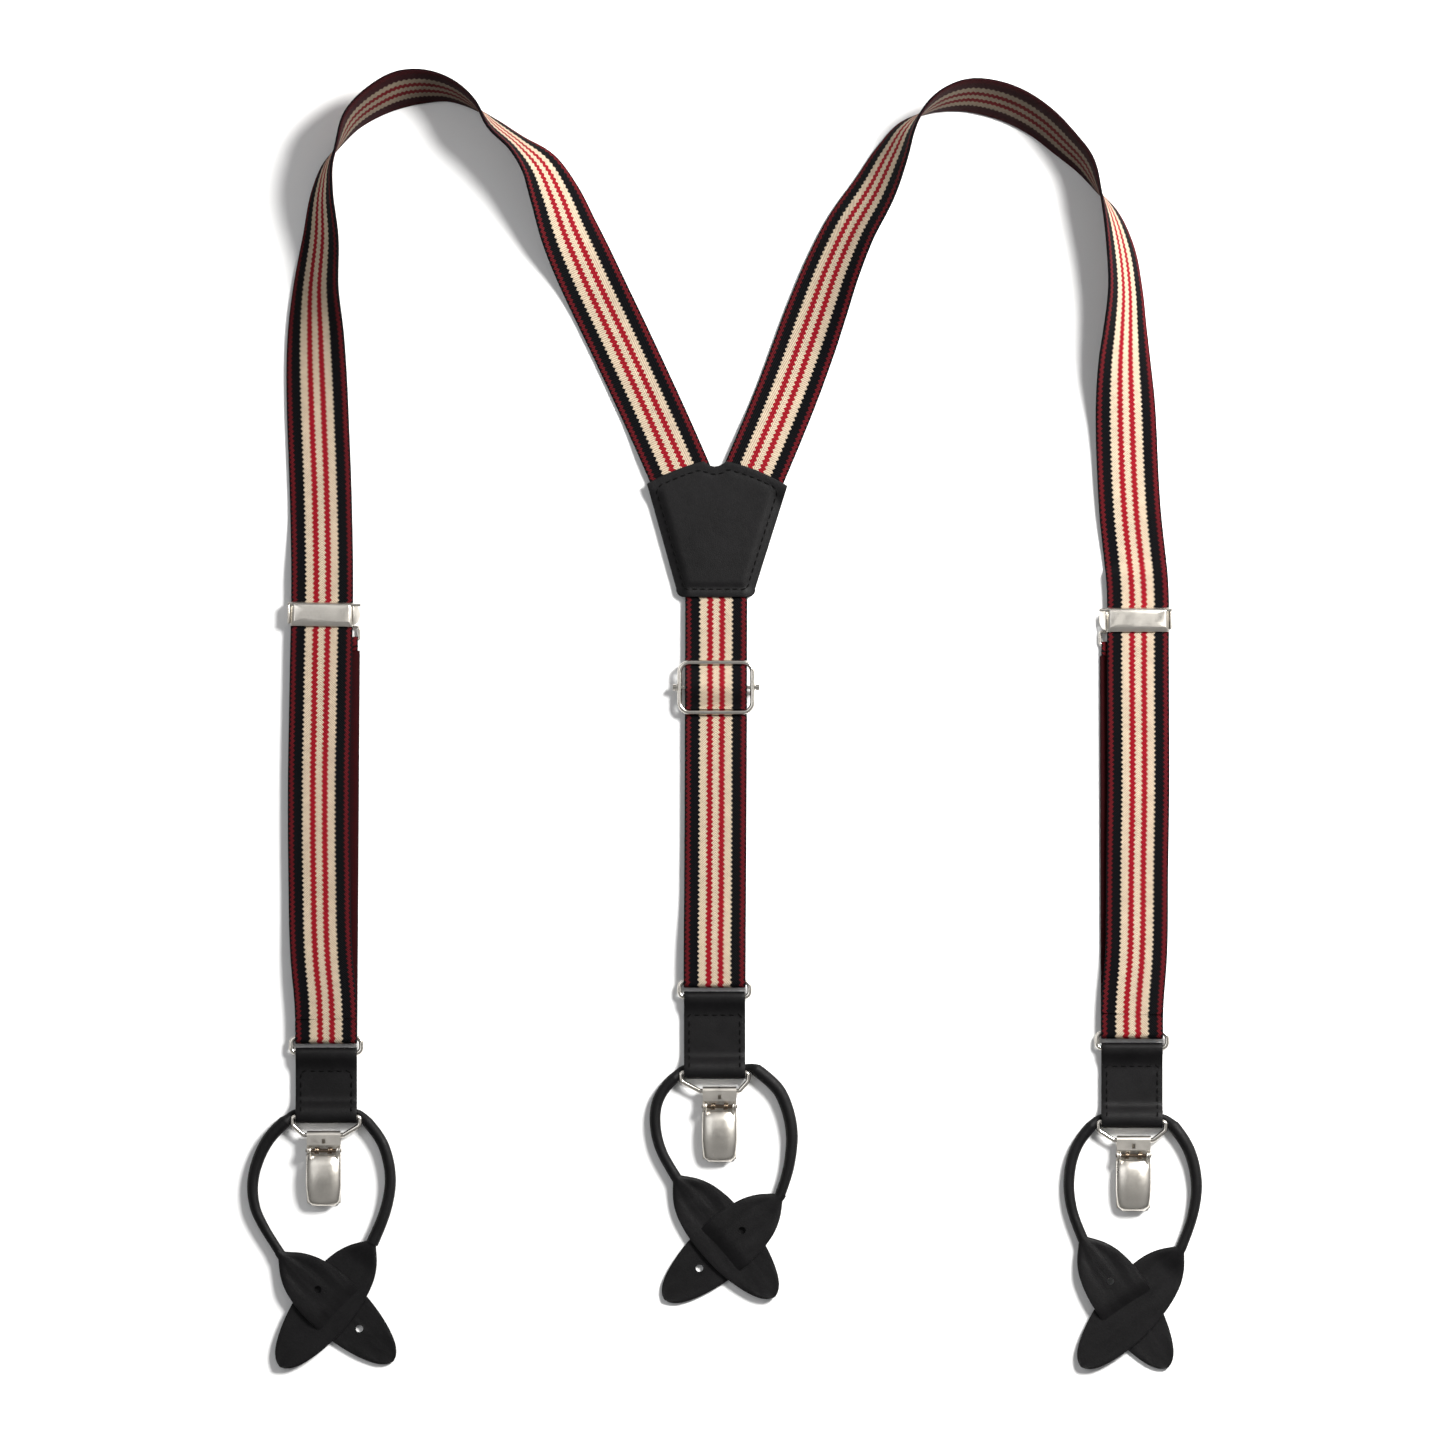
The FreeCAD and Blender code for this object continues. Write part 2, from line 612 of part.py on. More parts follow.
fittings = adjuster_parts()
for side, ((x, y), lean) in ADJUSTERS.items():
    for name, shape in fittings.items():
        shape = mirrored(shape) if side == "right" else shape
        node = "webbing_hem" if name == "hem" else "adjuster_" + name
        parts[node + "_" + side] = place(shape, x, y, lean)

clip = clip_parts()
pivots = {}
for side, ((x, y), length, set_x) in ENDS.items():
    if side == "back":
        top_y, shift = SLIDE_AT[1] - y - 11.5, 0.0
    else:
        top_y = ADJUSTERS[side][0][1] - y - 14.9
        shift = RETURN_SHIFT + ADJUSTERS[side][0][0] - x
        if side == "right":
            shift = -RETURN_SHIFT + ADJUSTERS[side][0][0] - x
    wire_y = y - RING_BARS - length + LEATHER + WIRE_R + 0.35
    clip_y = wire_y - CLIP_WIRE_DROP
    parts["webbing_return_" + side] = place(webbing_return(top_y, shift), x, y)
    parts["ring_" + side] = place(ring(), x, y)
    parts["end_tab_" + side] = place(end_tab(length), x, y)
    parts["clip_wire_" + side] = place(clip_wire(set_x), x, wire_y)
    for name, shape in clip.items():
        parts["clip_" + name + "_" + side] = place(shape, x + set_x, clip_y)
    core_y = y - RING_BARS - length + CORE_RISE
    starts = [ARMS[side + "_" + hand][0] for hand in ("left", "right")]
    starts = [V(arm_x - x, arm_y - core_y, CORD_Z) for arm_x, arm_y in starts]
    parts["loop_core_" + side] = place(loop_core(starts), x, core_y)
    pivots["ring_" + side] = (x, y, RING_Z)
    pivots["tab_" + side] = (x, y - RING_BARS, RING_Z)
    pivots["wire_" + side] = (x, wire_y, CLIP_WIRE_Z)
    pivots["clip_" + side] = (x + set_x, clip_y, CLIP_WIRE_Z)
    pivots["jaw_" + side] = (x + set_x, clip_y + PIN_Y, PIN_Z)
    pivots["loop_" + side] = (x, core_y, CORD_Z)

for side, ((x, y), lean) in ADJUSTERS.items():
    turn = math.radians(lean)
    pivots["lever_" + side] = (x - LEVER_PIN[0] * math.sin(turn), y + LEVER_PIN[0] * math.cos(turn),
                               LEVER_PIN[1])

for name in ARMS:
    parts["loop_arm_" + name] = rolled_arm(name)
for name, (_, _, kind) in LEAVES.items():
    solid = leaf(name, LEAF_THICK, 0.0)
    if kind == "slit":
        end = name.split("_")[0]
        other = end + ("_left" if name.endswith("right") else "_right")
        solid = solid.cut(leaf(other, LEAF_THICK + 0.2, 0.3))
    parts["leaf_" + name] = solid

# the arms are left out of the box that gives the origin, as free lengths of rolled leather
whole = FreeCAD.BoundBox()
for name, shape in parts.items():
    if not name.startswith("loop_arm_"):
        whole.add(shape.BoundBox)
move = V(-whole.Center.x, -whole.Center.y, 0)
print("moved by", move, "size", whole.XLength, whole.YLength, "z", whole.ZMin, whole.ZMax)

os.makedirs("parts", exist_ok=True)
for name, shape in sorted(parts.items()):
    shape.translate(move)
    bad = not shape.isValid() or not shape.Solids
    print(name, "solids", len(shape.Solids), "mm3", round(shape.Volume, 1), "BAD" if bad else "")
    shape.exportStep("parts/" + name + ".step")
for name, (x, y, z) in pivots.items():
    print("pivot", name, round(x + move.x, 4), round(y + move.y, 4), round(z, 4))
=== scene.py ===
import math

import bmesh
import bpy
from bpy.props import FloatProperty, FloatVectorProperty, PointerProperty
from mathutils import Matrix, Vector
from mathutils.geometry import delaunay_2d_cdt


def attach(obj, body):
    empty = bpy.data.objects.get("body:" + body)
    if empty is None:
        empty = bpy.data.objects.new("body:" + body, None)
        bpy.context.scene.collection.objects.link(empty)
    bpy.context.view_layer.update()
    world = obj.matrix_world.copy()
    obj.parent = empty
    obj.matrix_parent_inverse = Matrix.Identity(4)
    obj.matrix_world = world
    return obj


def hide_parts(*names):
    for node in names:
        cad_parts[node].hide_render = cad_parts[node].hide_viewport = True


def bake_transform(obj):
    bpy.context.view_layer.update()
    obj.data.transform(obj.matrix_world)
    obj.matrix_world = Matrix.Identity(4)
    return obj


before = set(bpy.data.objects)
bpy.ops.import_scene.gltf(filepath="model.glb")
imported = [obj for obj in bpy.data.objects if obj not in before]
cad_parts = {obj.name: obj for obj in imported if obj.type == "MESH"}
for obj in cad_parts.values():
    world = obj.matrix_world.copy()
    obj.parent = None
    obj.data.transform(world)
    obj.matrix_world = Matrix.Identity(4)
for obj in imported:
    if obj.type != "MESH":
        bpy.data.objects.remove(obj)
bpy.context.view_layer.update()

bl_info = {
    "name": "Striped Braces",
    "version": (1, 0, 0),
    "blender": (4, 5, 0),
    "location": "View3D > Sidebar > Braces",
    "description": "Builds striped Y-back braces with leather fittings on their fixed frame",
    "category": "Object",
}

MM = 0.001
ENDS = ("left", "right", "back")
# The run tables below are drawn in millimetres from the middle of the layout sheet; the frame's
# origin lies this far from the sheet's.
SHEET_SHIFT = Vector((-1.780468, -0.541185, 0.0))

WEB_HALF = 12.5
WEB_THICK = 1.3
RING_Z = 2.45
RING_BARS = 6.2  # from a ring's upper bar to its lower one
TURN_R = 1.8
SEAM_RISE = 7.5
LEATHER = 1.2
TAB_HALF = 12.35
TAB_SEAM_HALF = 10.2
TAB_SEAM_TOP = -13.4  # from the ring's upper bar
CORE_RISE = 4.7  # of the button loop's middle above the tab's lower edge
CORE_R = 1.15
CORD_Z = 2.4
ARM_R = 2.3
CLIP_WIRE_R = 0.95
CLIP_WIRE_DROP = 7.3
CLIP_PIN = (-6.2, 5.2)  # below the clip wire's lower bar, above the floor
RETURN_SHIFT = 2.8  # of a front strap's returning layer, to the side
LEAF_THICK = 1.3
DIVE_FROM = 26.0
SEAM_DEPTH = 3.2
HOLE_R = 1.5

# Middle line of each front strap from its ring over the shoulder to the patch, and its roll in
# degrees. The right one is drawn on the left and mirrored.
STRAP_RUNS = {
    "left": (
        (-160.9, -120.1, 0), (-161.2, -113.0, 0), (-162.7, -96.4, 0), (-163.7, -60.1, 0),
        (-163.8, -19.8, 0), (-163.37, 4.4, 0), (-162.93, 28.6, 0), (-162.5, 52.8, 0),
        (-163.1, 89.1, 0), (-164.5, 129.4, 6), (-165.0, 153.6, 22), (-164.9, 173.8, 42),
        (-163.0, 194.0, 54), (-162.1, 214.1, 71), (-160.3, 223.0, 80), (-156.2, 231.4, 91),
        (-149.8, 242.3, 108), (-140.1, 250.0, 118), (-130.4, 254.4, 123), (-120.8, 255.4, 119),
        (-111.1, 253.8, 108), (-101.4, 248.2, 95), (-94.2, 240.7, 80), (-83.5, 232.0, 72),
        (-75.0, 223.6, 54), (-68.6, 211.3, 37), (-63.0, 197.0, 21), (-56.2, 181.8, 6),
        (-40.9, 149.6, 0), (-26.0, 117.3, 0), (-16.9, 96.6, 0),
    ),
    "right": (
        (-163.8, -118.1, 0), (-164.1, -112.0, 0), (-165.3, -96.4, 0), (-165.9, -60.1, 0),
        (-166.4, -19.8, 0), (-166.3, 4.4, 0), (-166.2, 28.6, 0), (-166.1, 52.8, 0),
        (-163.0, 85.1, 4), (-161.2, 125.4, 14), (-160.7, 145.6, 33), (-160.9, 157.6, 45),
        (-160.9, 173.8, 56), (-159.0, 189.9, 63), (-154.6, 205.0, 77), (-150.6, 212.9, 90),
        (-143.9, 225.0, 108), (-136.5, 232.6, 115), (-126.8, 241.3, 120), (-117.1, 247.2, 123),
        (-107.5, 250.6, 123), (-97.8, 251.8, 119), (-88.1, 249.8, 108), (-79.6, 245.1, 92),
        (-72.4, 238.0, 73), (-67.5, 229.2, 60), (-59.9, 214.1, 46), (-50.2, 198.0, 36),
        (-42.9, 181.8, 27), (-37.0, 165.7, 16), (-31.3, 149.6, 5), (-25.4, 133.5, 0),
        (-18.9, 117.3, 0), (-9.9, 96.0, 0),
    ),
}
BACK_RUN = ((-4.4, -97.5, 4.25), (-4.35, -88.0, 3.9), (-4.2, -72.0, 2.5), (-4.1, -55.0, 2.25),
            (-3.9, 0.0, 2.25), (-3.75, 40.0, 2.25), (-3.7, 56.0, 2.0))

# Ring bar, tab length, sideways set of the clip
END_PLACES = {
    "left": ((-160.9, -127.6), 28.2, -1.0),
    "right": ((163.8, -125.6), 32.2, 0.6),
    "back": ((-4.4, -105.0), 33.0, 2.0),
}
ADJUSTERS = {"left": ((-162.67, 43.1), -1.02), "right": ((166.14, 40.9), 0.24)}
SLIDE_AT = (-3.8, 13.6)

# Control points of each rolled leather arm, in metres in the frame, from the tab to its leaf, with
# the radius of the roll there as a share of the arm's own
ARM_ROUTES = {
    "back_left": (
        (-0.02258, -0.14444, 0.0024, 1.00), (-0.02658, -0.14814, 0.0024, 1.00),
        (-0.03018, -0.15574, 0.0024, 0.98), (-0.03018, -0.16544, 0.0024, 0.96),
        (-0.02778, -0.17394, 0.0024, 0.92), (-0.02418, -0.18034, 0.0024, 0.90),
        (-0.02138, -0.18484, 0.0024, 0.95)),
    "back_right": (
        (0.01042, -0.14094, 0.0026, 1.12), (0.01822, -0.14654, 0.0026, 1.12),
        (0.02262, -0.15454, 0.0025, 1.10), (0.02522, -0.16544, 0.0025, 1.08),
        (0.02462, -0.17554, 0.0024, 1.00), (0.02282, -0.18444, 0.0024, 0.94),
        (0.01982, -0.19244, 0.0024, 0.92)),
    "left_left": (
        (-0.17918, -0.16184, 0.0026, 1.14), (-0.18428, -0.16624, 0.0026, 1.14),
        (-0.18948, -0.17474, 0.0025, 1.06), (-0.19268, -0.18564, 0.0024, 0.98),
        (-0.19188, -0.19614, 0.0024, 0.92), (-0.18828, -0.20374, 0.0024, 0.86),
        (-0.18428, -0.21024, 0.0024, 0.80), (-0.18058, -0.21584, 0.0024, 0.84)),
    "left_right": (
        (-0.14618, -0.16204, 0.0024, 0.96), (-0.14108, -0.16784, 0.0024, 0.98),
        (-0.13788, -0.17594, 0.0024, 0.98), (-0.13648, -0.18564, 0.0024, 0.98),
        (-0.13788, -0.19484, 0.0024, 1.00), (-0.14068, -0.20334, 0.0024, 1.04),
        (-0.14428, -0.21104, 0.0024, 1.10)),
    "right_left": (
        (0.14552, -0.16374, 0.0024, 1.00), (0.14112, -0.16864, 0.0024, 1.00),
        (0.13752, -0.17714, 0.0024, 0.98), (0.13632, -0.18724, 0.0024, 0.96),
        (0.13732, -0.19574, 0.0024, 0.92), (0.13952, -0.20294, 0.0024, 0.90),
        (0.14232, -0.20944, 0.0024, 0.94)),
    "right_right": (
        (0.17852, -0.16354, 0.0025, 1.08), (0.18312, -0.16904, 0.0025, 1.08),
        (0.18672, -0.17754, 0.0024, 1.04), (0.18832, -0.18724, 0.0024, 1.00),
        (0.18732, -0.19654, 0.0024, 0.94), (0.18492, -0.20534, 0.0024, 0.90),
        (0.18152, -0.21344, 0.0024, 0.94)),
}
# Neck, tip, whether it dives through the other leaf's slit, and how far down its holes are
LEAVES = {
    "back_left": ((-19.6, -184.3), (20.4, -232.6), False, ()),
    "back_right": ((21.6, -191.9), (-23.2, -231.8), True, (20.0, 43.0)),
    "left_left": ((-178.8, -215.3), (-134.1, -257.6), True, (20.0, 43.0)),
    "left_right": ((-142.5, -210.5), (-176.8, -256.4), False, ()),
    "right_left": ((144.1, -208.9), (178.4, -260.5), True, (20.0,)),
    "right_right": ((183.3, -212.9), (143.7, -259.7), False, ()),
}
LEAF_HALF_WIDTHS = ((0.0, 2.1), (5.0, 6.2), (10.0, 8.9), (16.0, 10.6), (23.0, 11.5), (26.0, 11.6),
                    (37.0, 11.3), (44.0, 10.2), (50.0, 8.7), (54.0, 7.3), (57.0, 5.9), (59.0, 4.6),
                    (60.4, 3.3), (61.4, 1.9), (62.0, 0.3))


# --- measuring and drawing -----------------------------------------------------------------------

def sheet_point(x, y, z):
    """A place on the layout sheet, in millimetres, as a place in the frame, in metres."""
    return (Vector((x, y, z)) + SHEET_SHIFT) * MM


def ease(t):
    t = min(1.0, max(0.0, t))
    return t * t * (3 - 2 * t)


def bend(a, b, slope_a, slope_b, t):
    """The place a share t along a smooth bend from a to b, with its slopes at both ends."""
    return (a * (2 * t**3 - 3 * t**2 + 1) + b * (3 * t**2 - 2 * t**3)
            + slope_a * (t**3 - 2 * t**2 + t) + slope_b * (t**3 - t**2))


def smooth_rows(rows, step):
    """Rows of numbers made into a smooth line of rows about step apart in their first two."""
    rows = [Vector(r) for r in rows]
    gaps = [(b.xy - a.xy).length for a, b in zip(rows, rows[1:])]
    slopes = []
    for i, row in enumerate(rows):
        if i == 0:
            slopes.append((rows[1] - row) / gaps[0])
        elif i == len(rows) - 1:
            slopes.append((row - rows[-2]) / gaps[-1])
        else:
            before = (row - rows[i - 1]) / gaps[i - 1]
            after = (rows[i + 1] - row) / gaps[i]
            slopes.append((before * gaps[i] + after * gaps[i - 1]) / (gaps[i] + gaps[i - 1]))
    line = [rows[0]]
    for i, gap in enumerate(gaps):
        count = max(1, round(gap / step))
        line += [bend(rows[i], rows[i + 1], slopes[i] * gap, slopes[i + 1] * gap, k / count)
                 for k in range(1, count + 1)]
    return line


def arc_points(a, m, b, count):
    """Points on the circle from a through m to b, without b."""
    ax, ay, bx, by, mx, my = *a, *b, *m
    d = 2 * (ax * (my - by) + mx * (by - ay) + bx * (ay - my))
    aa, bb, mm = ax**2 + ay**2, bx**2 + by**2, mx**2 + my**2
    ux = (aa * (my - by) + mm * (by - ay) + bb * (ay - my)) / d
    uy = (aa * (bx - mx) + mm * (ax - bx) + bb * (mx - ax)) / d
    start, middle, end = (math.atan2(q - uy, p - ux) for p, q in (a, m, b))
    turn = (end - start) % math.tau
    if (middle - start) % math.tau > turn:
        turn -= math.tau
    r = math.hypot(ax - ux, ay - uy)
    angles = [start + turn * i / count for i in range(count)]
    return [(ux + r * math.cos(t), uy + r * math.sin(t)) for t in angles]


def line_points(a, b, count):
    return [(a[0] + (b[0] - a[0]) * i / count, a[1] + (b[1] - a[1]) * i / count)
            for i in range(count)]


def inset(outline, distance):
    """A closed outline, anticlockwise, moved inwards."""
    moved = []
    for i, p in enumerate(outline):
        a, b = Vector(outline[i - 1]), Vector(outline[(i + 1) % len(outline)])
        way = (b - a).normalized()
        moved.append((p[0] - way.y * distance, p[1] + way.x * distance))
    return moved


def shown(name, data):
    """A new object in the scene."""
    thing = bpy.data.objects.new(name, data)
    bpy.context.scene.collection.objects.link(thing)
    return thing


def tube_faces(rings, count, first=0):
    """Quads that join rings of count points, one ring after another."""
    return [(first + i * count + j, first + i * count + (j + 1) % count,
             first + (i + 1) * count + (j + 1) % count, first + (i + 1) * count + j)
            for i in range(rings - 1) for j in range(count)]


def new_piece(name, verts, faces, materials, uvs=None, reverse=None, smooth=True):
    """A mesh piece at the origin. uvs holds one pair for each vertex."""
    mesh = bpy.data.meshes.new(name)
    mesh.from_pydata([tuple(v) for v in verts], [], faces)
    if uvs:
        layer = mesh.uv_layers.new(name="UVMap")
        for loop in mesh.loops:
            layer.data[loop.index].uv = uvs[loop.vertex_index]
    for material in materials:
        mesh.materials.append(material)
    for i, polygon in enumerate(mesh.polygons):
        polygon.use_smooth = smooth
        if reverse and reverse[i]:
            polygon.material_index = 1
    turn_faces_out(mesh)
    if smooth:
        mesh.set_sharp_from_angle(angle=math.radians(50))
    return shown(name, mesh)


def turn_faces_out(mesh):
    bm = bmesh.new()
    bm.from_mesh(mesh)
    bmesh.ops.recalc_face_normals(bm, faces=bm.faces)
    bm.to_mesh(mesh)
    bm.free()


def swept(name, stations, profiles, materials, closed=False):
    """A solid swept through stations, each (middle, across, face, length so far), in metres.
    profiles is one list of (across, out) round the section for each station."""
    count = len(profiles[0])
    verts, uvs, faces, reverse = [], [], [], []
    for (middle, wide, face, along), profile in zip(stations, profiles):
        for across, out in profile:
            verts.append(middle + wide * across + face * out)
            uvs.append((across, along))
    last = len(stations) if closed else len(stations) - 1
    for i in range(last):
        k = (i + 1) % len(stations)
        for j in range(count):
            n = (j + 1) % count
            faces.append((i * count + j, i * count + n, k * count + n, k * count + j))
            reverse.append(profiles[i][j][1] < 0 and profiles[i][n][1] < 0)
    if not closed:
        faces.append(tuple(range(count)))
        faces.append(tuple(range(count * (len(stations) - 1), count * len(stations))))
        reverse += [False, False]
    return new_piece(name, verts, faces, materials, uvs, reverse if len(materials) > 1 else None)


def flat_stations(points):
    """Stations on points in metres, level across, with their length so far."""
    stations, along = [], 0.0
    for i, p in enumerate(points):
        way = points[min(i + 1, len(points) - 1)] - points[max(i - 1, 0)]
        way.normalize()
        wide = way.cross(Vector((0, 0, 1)))
        if wide.length < 0.2:
            wide = Vector((1, 0, 0))
        wide.normalize()
        if i:
            along += (p - points[i - 1]).length
        stations.append((p, wide, wide.cross(way), along))
    return stations


def web_profile(half=WEB_HALF, thick=WEB_THICK):
    """Section of woven webbing, with firm rounded selvedges, in metres."""
    h, t, columns = half * MM, thick / 2 * MM, 16
    top = [(-h + 0.0005 + (2 * h - 0.001) * i / columns, t) for i in range(columns + 1)]
    right = [(h - 0.00014, 0.72 * t), (h, 0.25 * t), (h, -0.25 * t), (h - 0.00014, -0.72 * t)]
    under = [(a, -o) for a, o in reversed(top)]
    left = [(-a, -o) for a, o in right]
    return top + right + under + left


def across_solid(name, outline, half, place, materials, edge=0.15):
    """An outline in (y, z), in millimetres, taken right across from side to side with eased edges.
    place turns a local point in millimetres into one in the frame."""
    rings = [(-half, edge), (-half + 0.3 * edge, 0.3 * edge), (-half + edge, 0.0)]
    steps = 10
    rings += [(-half + edge + (2 * half - 2 * edge) * i / steps, 0.0) for i in range(1, steps)]
    rings += [(half - edge, 0.0), (half - 0.3 * edge, 0.3 * edge), (half, edge)]
    count = len(outline)
    lengths = [0.0]
    for a, b in zip(outline, outline[1:]):
        lengths.append(lengths[-1] + math.dist(a, b) * MM)
    verts, uvs = [], []
    for x, shrink in rings:
        for (y, z), along in zip(inset(outline, shrink), lengths):
            verts.append(place(x, y, z))
            uvs.append((x * MM, along))
    faces = tube_faces(len(rings), count)
    faces.append(tuple(range(count)))
    faces.append(tuple(range(count * (len(rings) - 1), count * len(rings))))
    return new_piece(name, verts, faces, materials, uvs)


def joined(name, pieces):
    """Several fresh pieces made into one mesh."""
    bm = bmesh.new()
    materials = list(pieces[0].data.materials)
    for piece in pieces:
        bm.from_mesh(piece.data)
        bpy.data.objects.remove(piece)
    mesh = bpy.data.meshes.new(name)
    bm.to_mesh(mesh)
    bm.free()
    for material in materials:
        mesh.materials.append(material)
    return shown(name, mesh)


def applied(piece):
    """The piece with all its modifiers worked into its mesh."""
    bpy.context.view_layer.update()
    shown = piece.evaluated_get(bpy.context.evaluated_depsgraph_get())
    mesh = bpy.data.meshes.new_from_object(shown)
    piece.modifiers.clear()
    old = piece.data
    piece.data = mesh
    mesh.name = piece.name
    if isinstance(old, bpy.types.Mesh):
        bpy.data.meshes.remove(old)
    return piece


def eased_edges(piece, width, segments=2):
    bevel = piece.modifiers.new("eased_edges", "BEVEL")
    bevel.width = width
    bevel.segments = segments
    bevel.limit_method = "ANGLE"
    bevel.angle_limit = math.radians(30)
    applied(piece)
    for polygon in piece.data.polygons:
        polygon.use_smooth = True
    return piece


def block(name, lo, hi, place, materials, width=0.15):
    corners = [(x, y, z) for z in (lo[2], hi[2]) for y in (lo[1], hi[1]) for x in (lo[0], hi[0])]
    faces = [(0, 1, 3, 2), (4, 6, 7, 5), (0, 4, 5, 1), (2, 3, 7, 6), (0, 2, 6, 4), (1, 5, 7, 3)]
    piece = new_piece(name, [place(*c) for c in corners], faces, materials)
    return eased_edges(piece, width * MM)


def barrel(name, y, z, x0, x1, r, place, materials):
    """A short round bar across, from x0 to x1."""
    verts, n = [], 32
    for x, shrink in ((x0, 0.12), (x0 + 0.12, 0.0), (x1 - 0.12, 0.0), (x1, 0.12)):
        for i in range(n):
            a = math.tau * i / n
            verts.append(place(x, y + (r - shrink) * math.cos(a), z + (r - shrink) * math.sin(a)))
    faces = tube_faces(4, n) + [tuple(range(n)), tuple(range(3 * n, 4 * n))]
    return new_piece(name, verts, faces, materials)


def mount_piece(piece, body, slot, *nodes):
    if nodes:
        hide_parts(*nodes)
    if body:
        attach(piece, body)
    return piece


# --- finishes ------------------------------------------------------------------------------------

class Weave:
    """A material's node tree, with short calls for the sums that a pattern needs."""

    def __init__(self, name):
        self.material = bpy.data.materials.get(name) or bpy.data.materials.new(name)
        self.material.use_nodes = True
        self.tree = self.material.node_tree
        self.tree.nodes.clear()
        self.out = self.tree.nodes.new("ShaderNodeOutputMaterial")
        self.shader = self.tree.nodes.new("ShaderNodeBsdfPrincipled")
        self.tree.links.new(self.shader.outputs["BSDF"], self.out.inputs["Surface"])
        self.coords = self.tree.nodes.new("ShaderNodeTexCoord")

    def put(self, socket, value):
        if isinstance(value, bpy.types.NodeSocket):
            self.tree.links.new(value, socket)
        else:
            socket.default_value = value

    def node(self, kind, **settings):
        made = self.tree.nodes.new(kind)
        for key, value in settings.items():
            setattr(made, key, value)
        return made

    def sum(self, operation, a, b=0.0, c=0.0):
        made = self.node("ShaderNodeMath", operation=operation)
        for socket, value in zip(made.inputs, (a, b, c)):
            self.put(socket, value)
        return made.outputs[0]

    def span(self, value, low, high, to_low=0.0, to_high=1.0):
        made = self.node("ShaderNodeMapRange")
        for key, v in (("Value", value), ("From Min", low), ("From Max", high),
                       ("To Min", to_low), ("To Max", to_high)):
            self.put(made.inputs[key], v)
        return made.outputs[0]

    def ramp(self, value, stops, stepped=False):
        made = self.node("ShaderNodeValToRGB")
        made.color_ramp.interpolation = "CONSTANT" if stepped else "LINEAR"
        elements = made.color_ramp.elements
        while len(elements) < len(stops):
            elements.new(1.0)
        for element, (place, colour) in zip(elements, stops):
            element.position = place
            element.color = (*colour, 1.0)
        self.put(made.inputs[0], value)
        return made.outputs[0]

    def tint(self, colour, factor, by):
        made = self.node("ShaderNodeMix", data_type="RGBA", blend_type="MULTIPLY")
        self.put(made.inputs[0], factor)
        self.put(made.inputs[6], colour)
        self.put(made.inputs[7], by)
        return made.outputs[2]

    def noise(self, scale, detail=3.0, rough=0.5, vector=None):
        made = self.node("ShaderNodeTexNoise")
        made.inputs["Scale"].default_value = scale
        made.inputs["Detail"].default_value = detail
        made.inputs["Roughness"].default_value = rough
        self.put(made.inputs["Vector"], vector or self.coords.outputs["Object"])
        return made.outputs[0]

    def cells(self, scale):
        made = self.node("ShaderNodeTexVoronoi", feature="DISTANCE_TO_EDGE")
        made.inputs["Scale"].default_value = scale
        self.put(made.inputs["Vector"], self.coords.outputs["Object"])
        return made.outputs["Distance"]

    def raise_by(self, height, distance, strength=1.0, under=None):
        made = self.node("ShaderNodeBump")
        made.inputs["Distance"].default_value = distance
        made.inputs["Strength"].default_value = strength
        self.put(made.inputs["Height"], height)
        if under is not None:
            self.put(made.inputs["Normal"], under)
        return made.outputs[0]


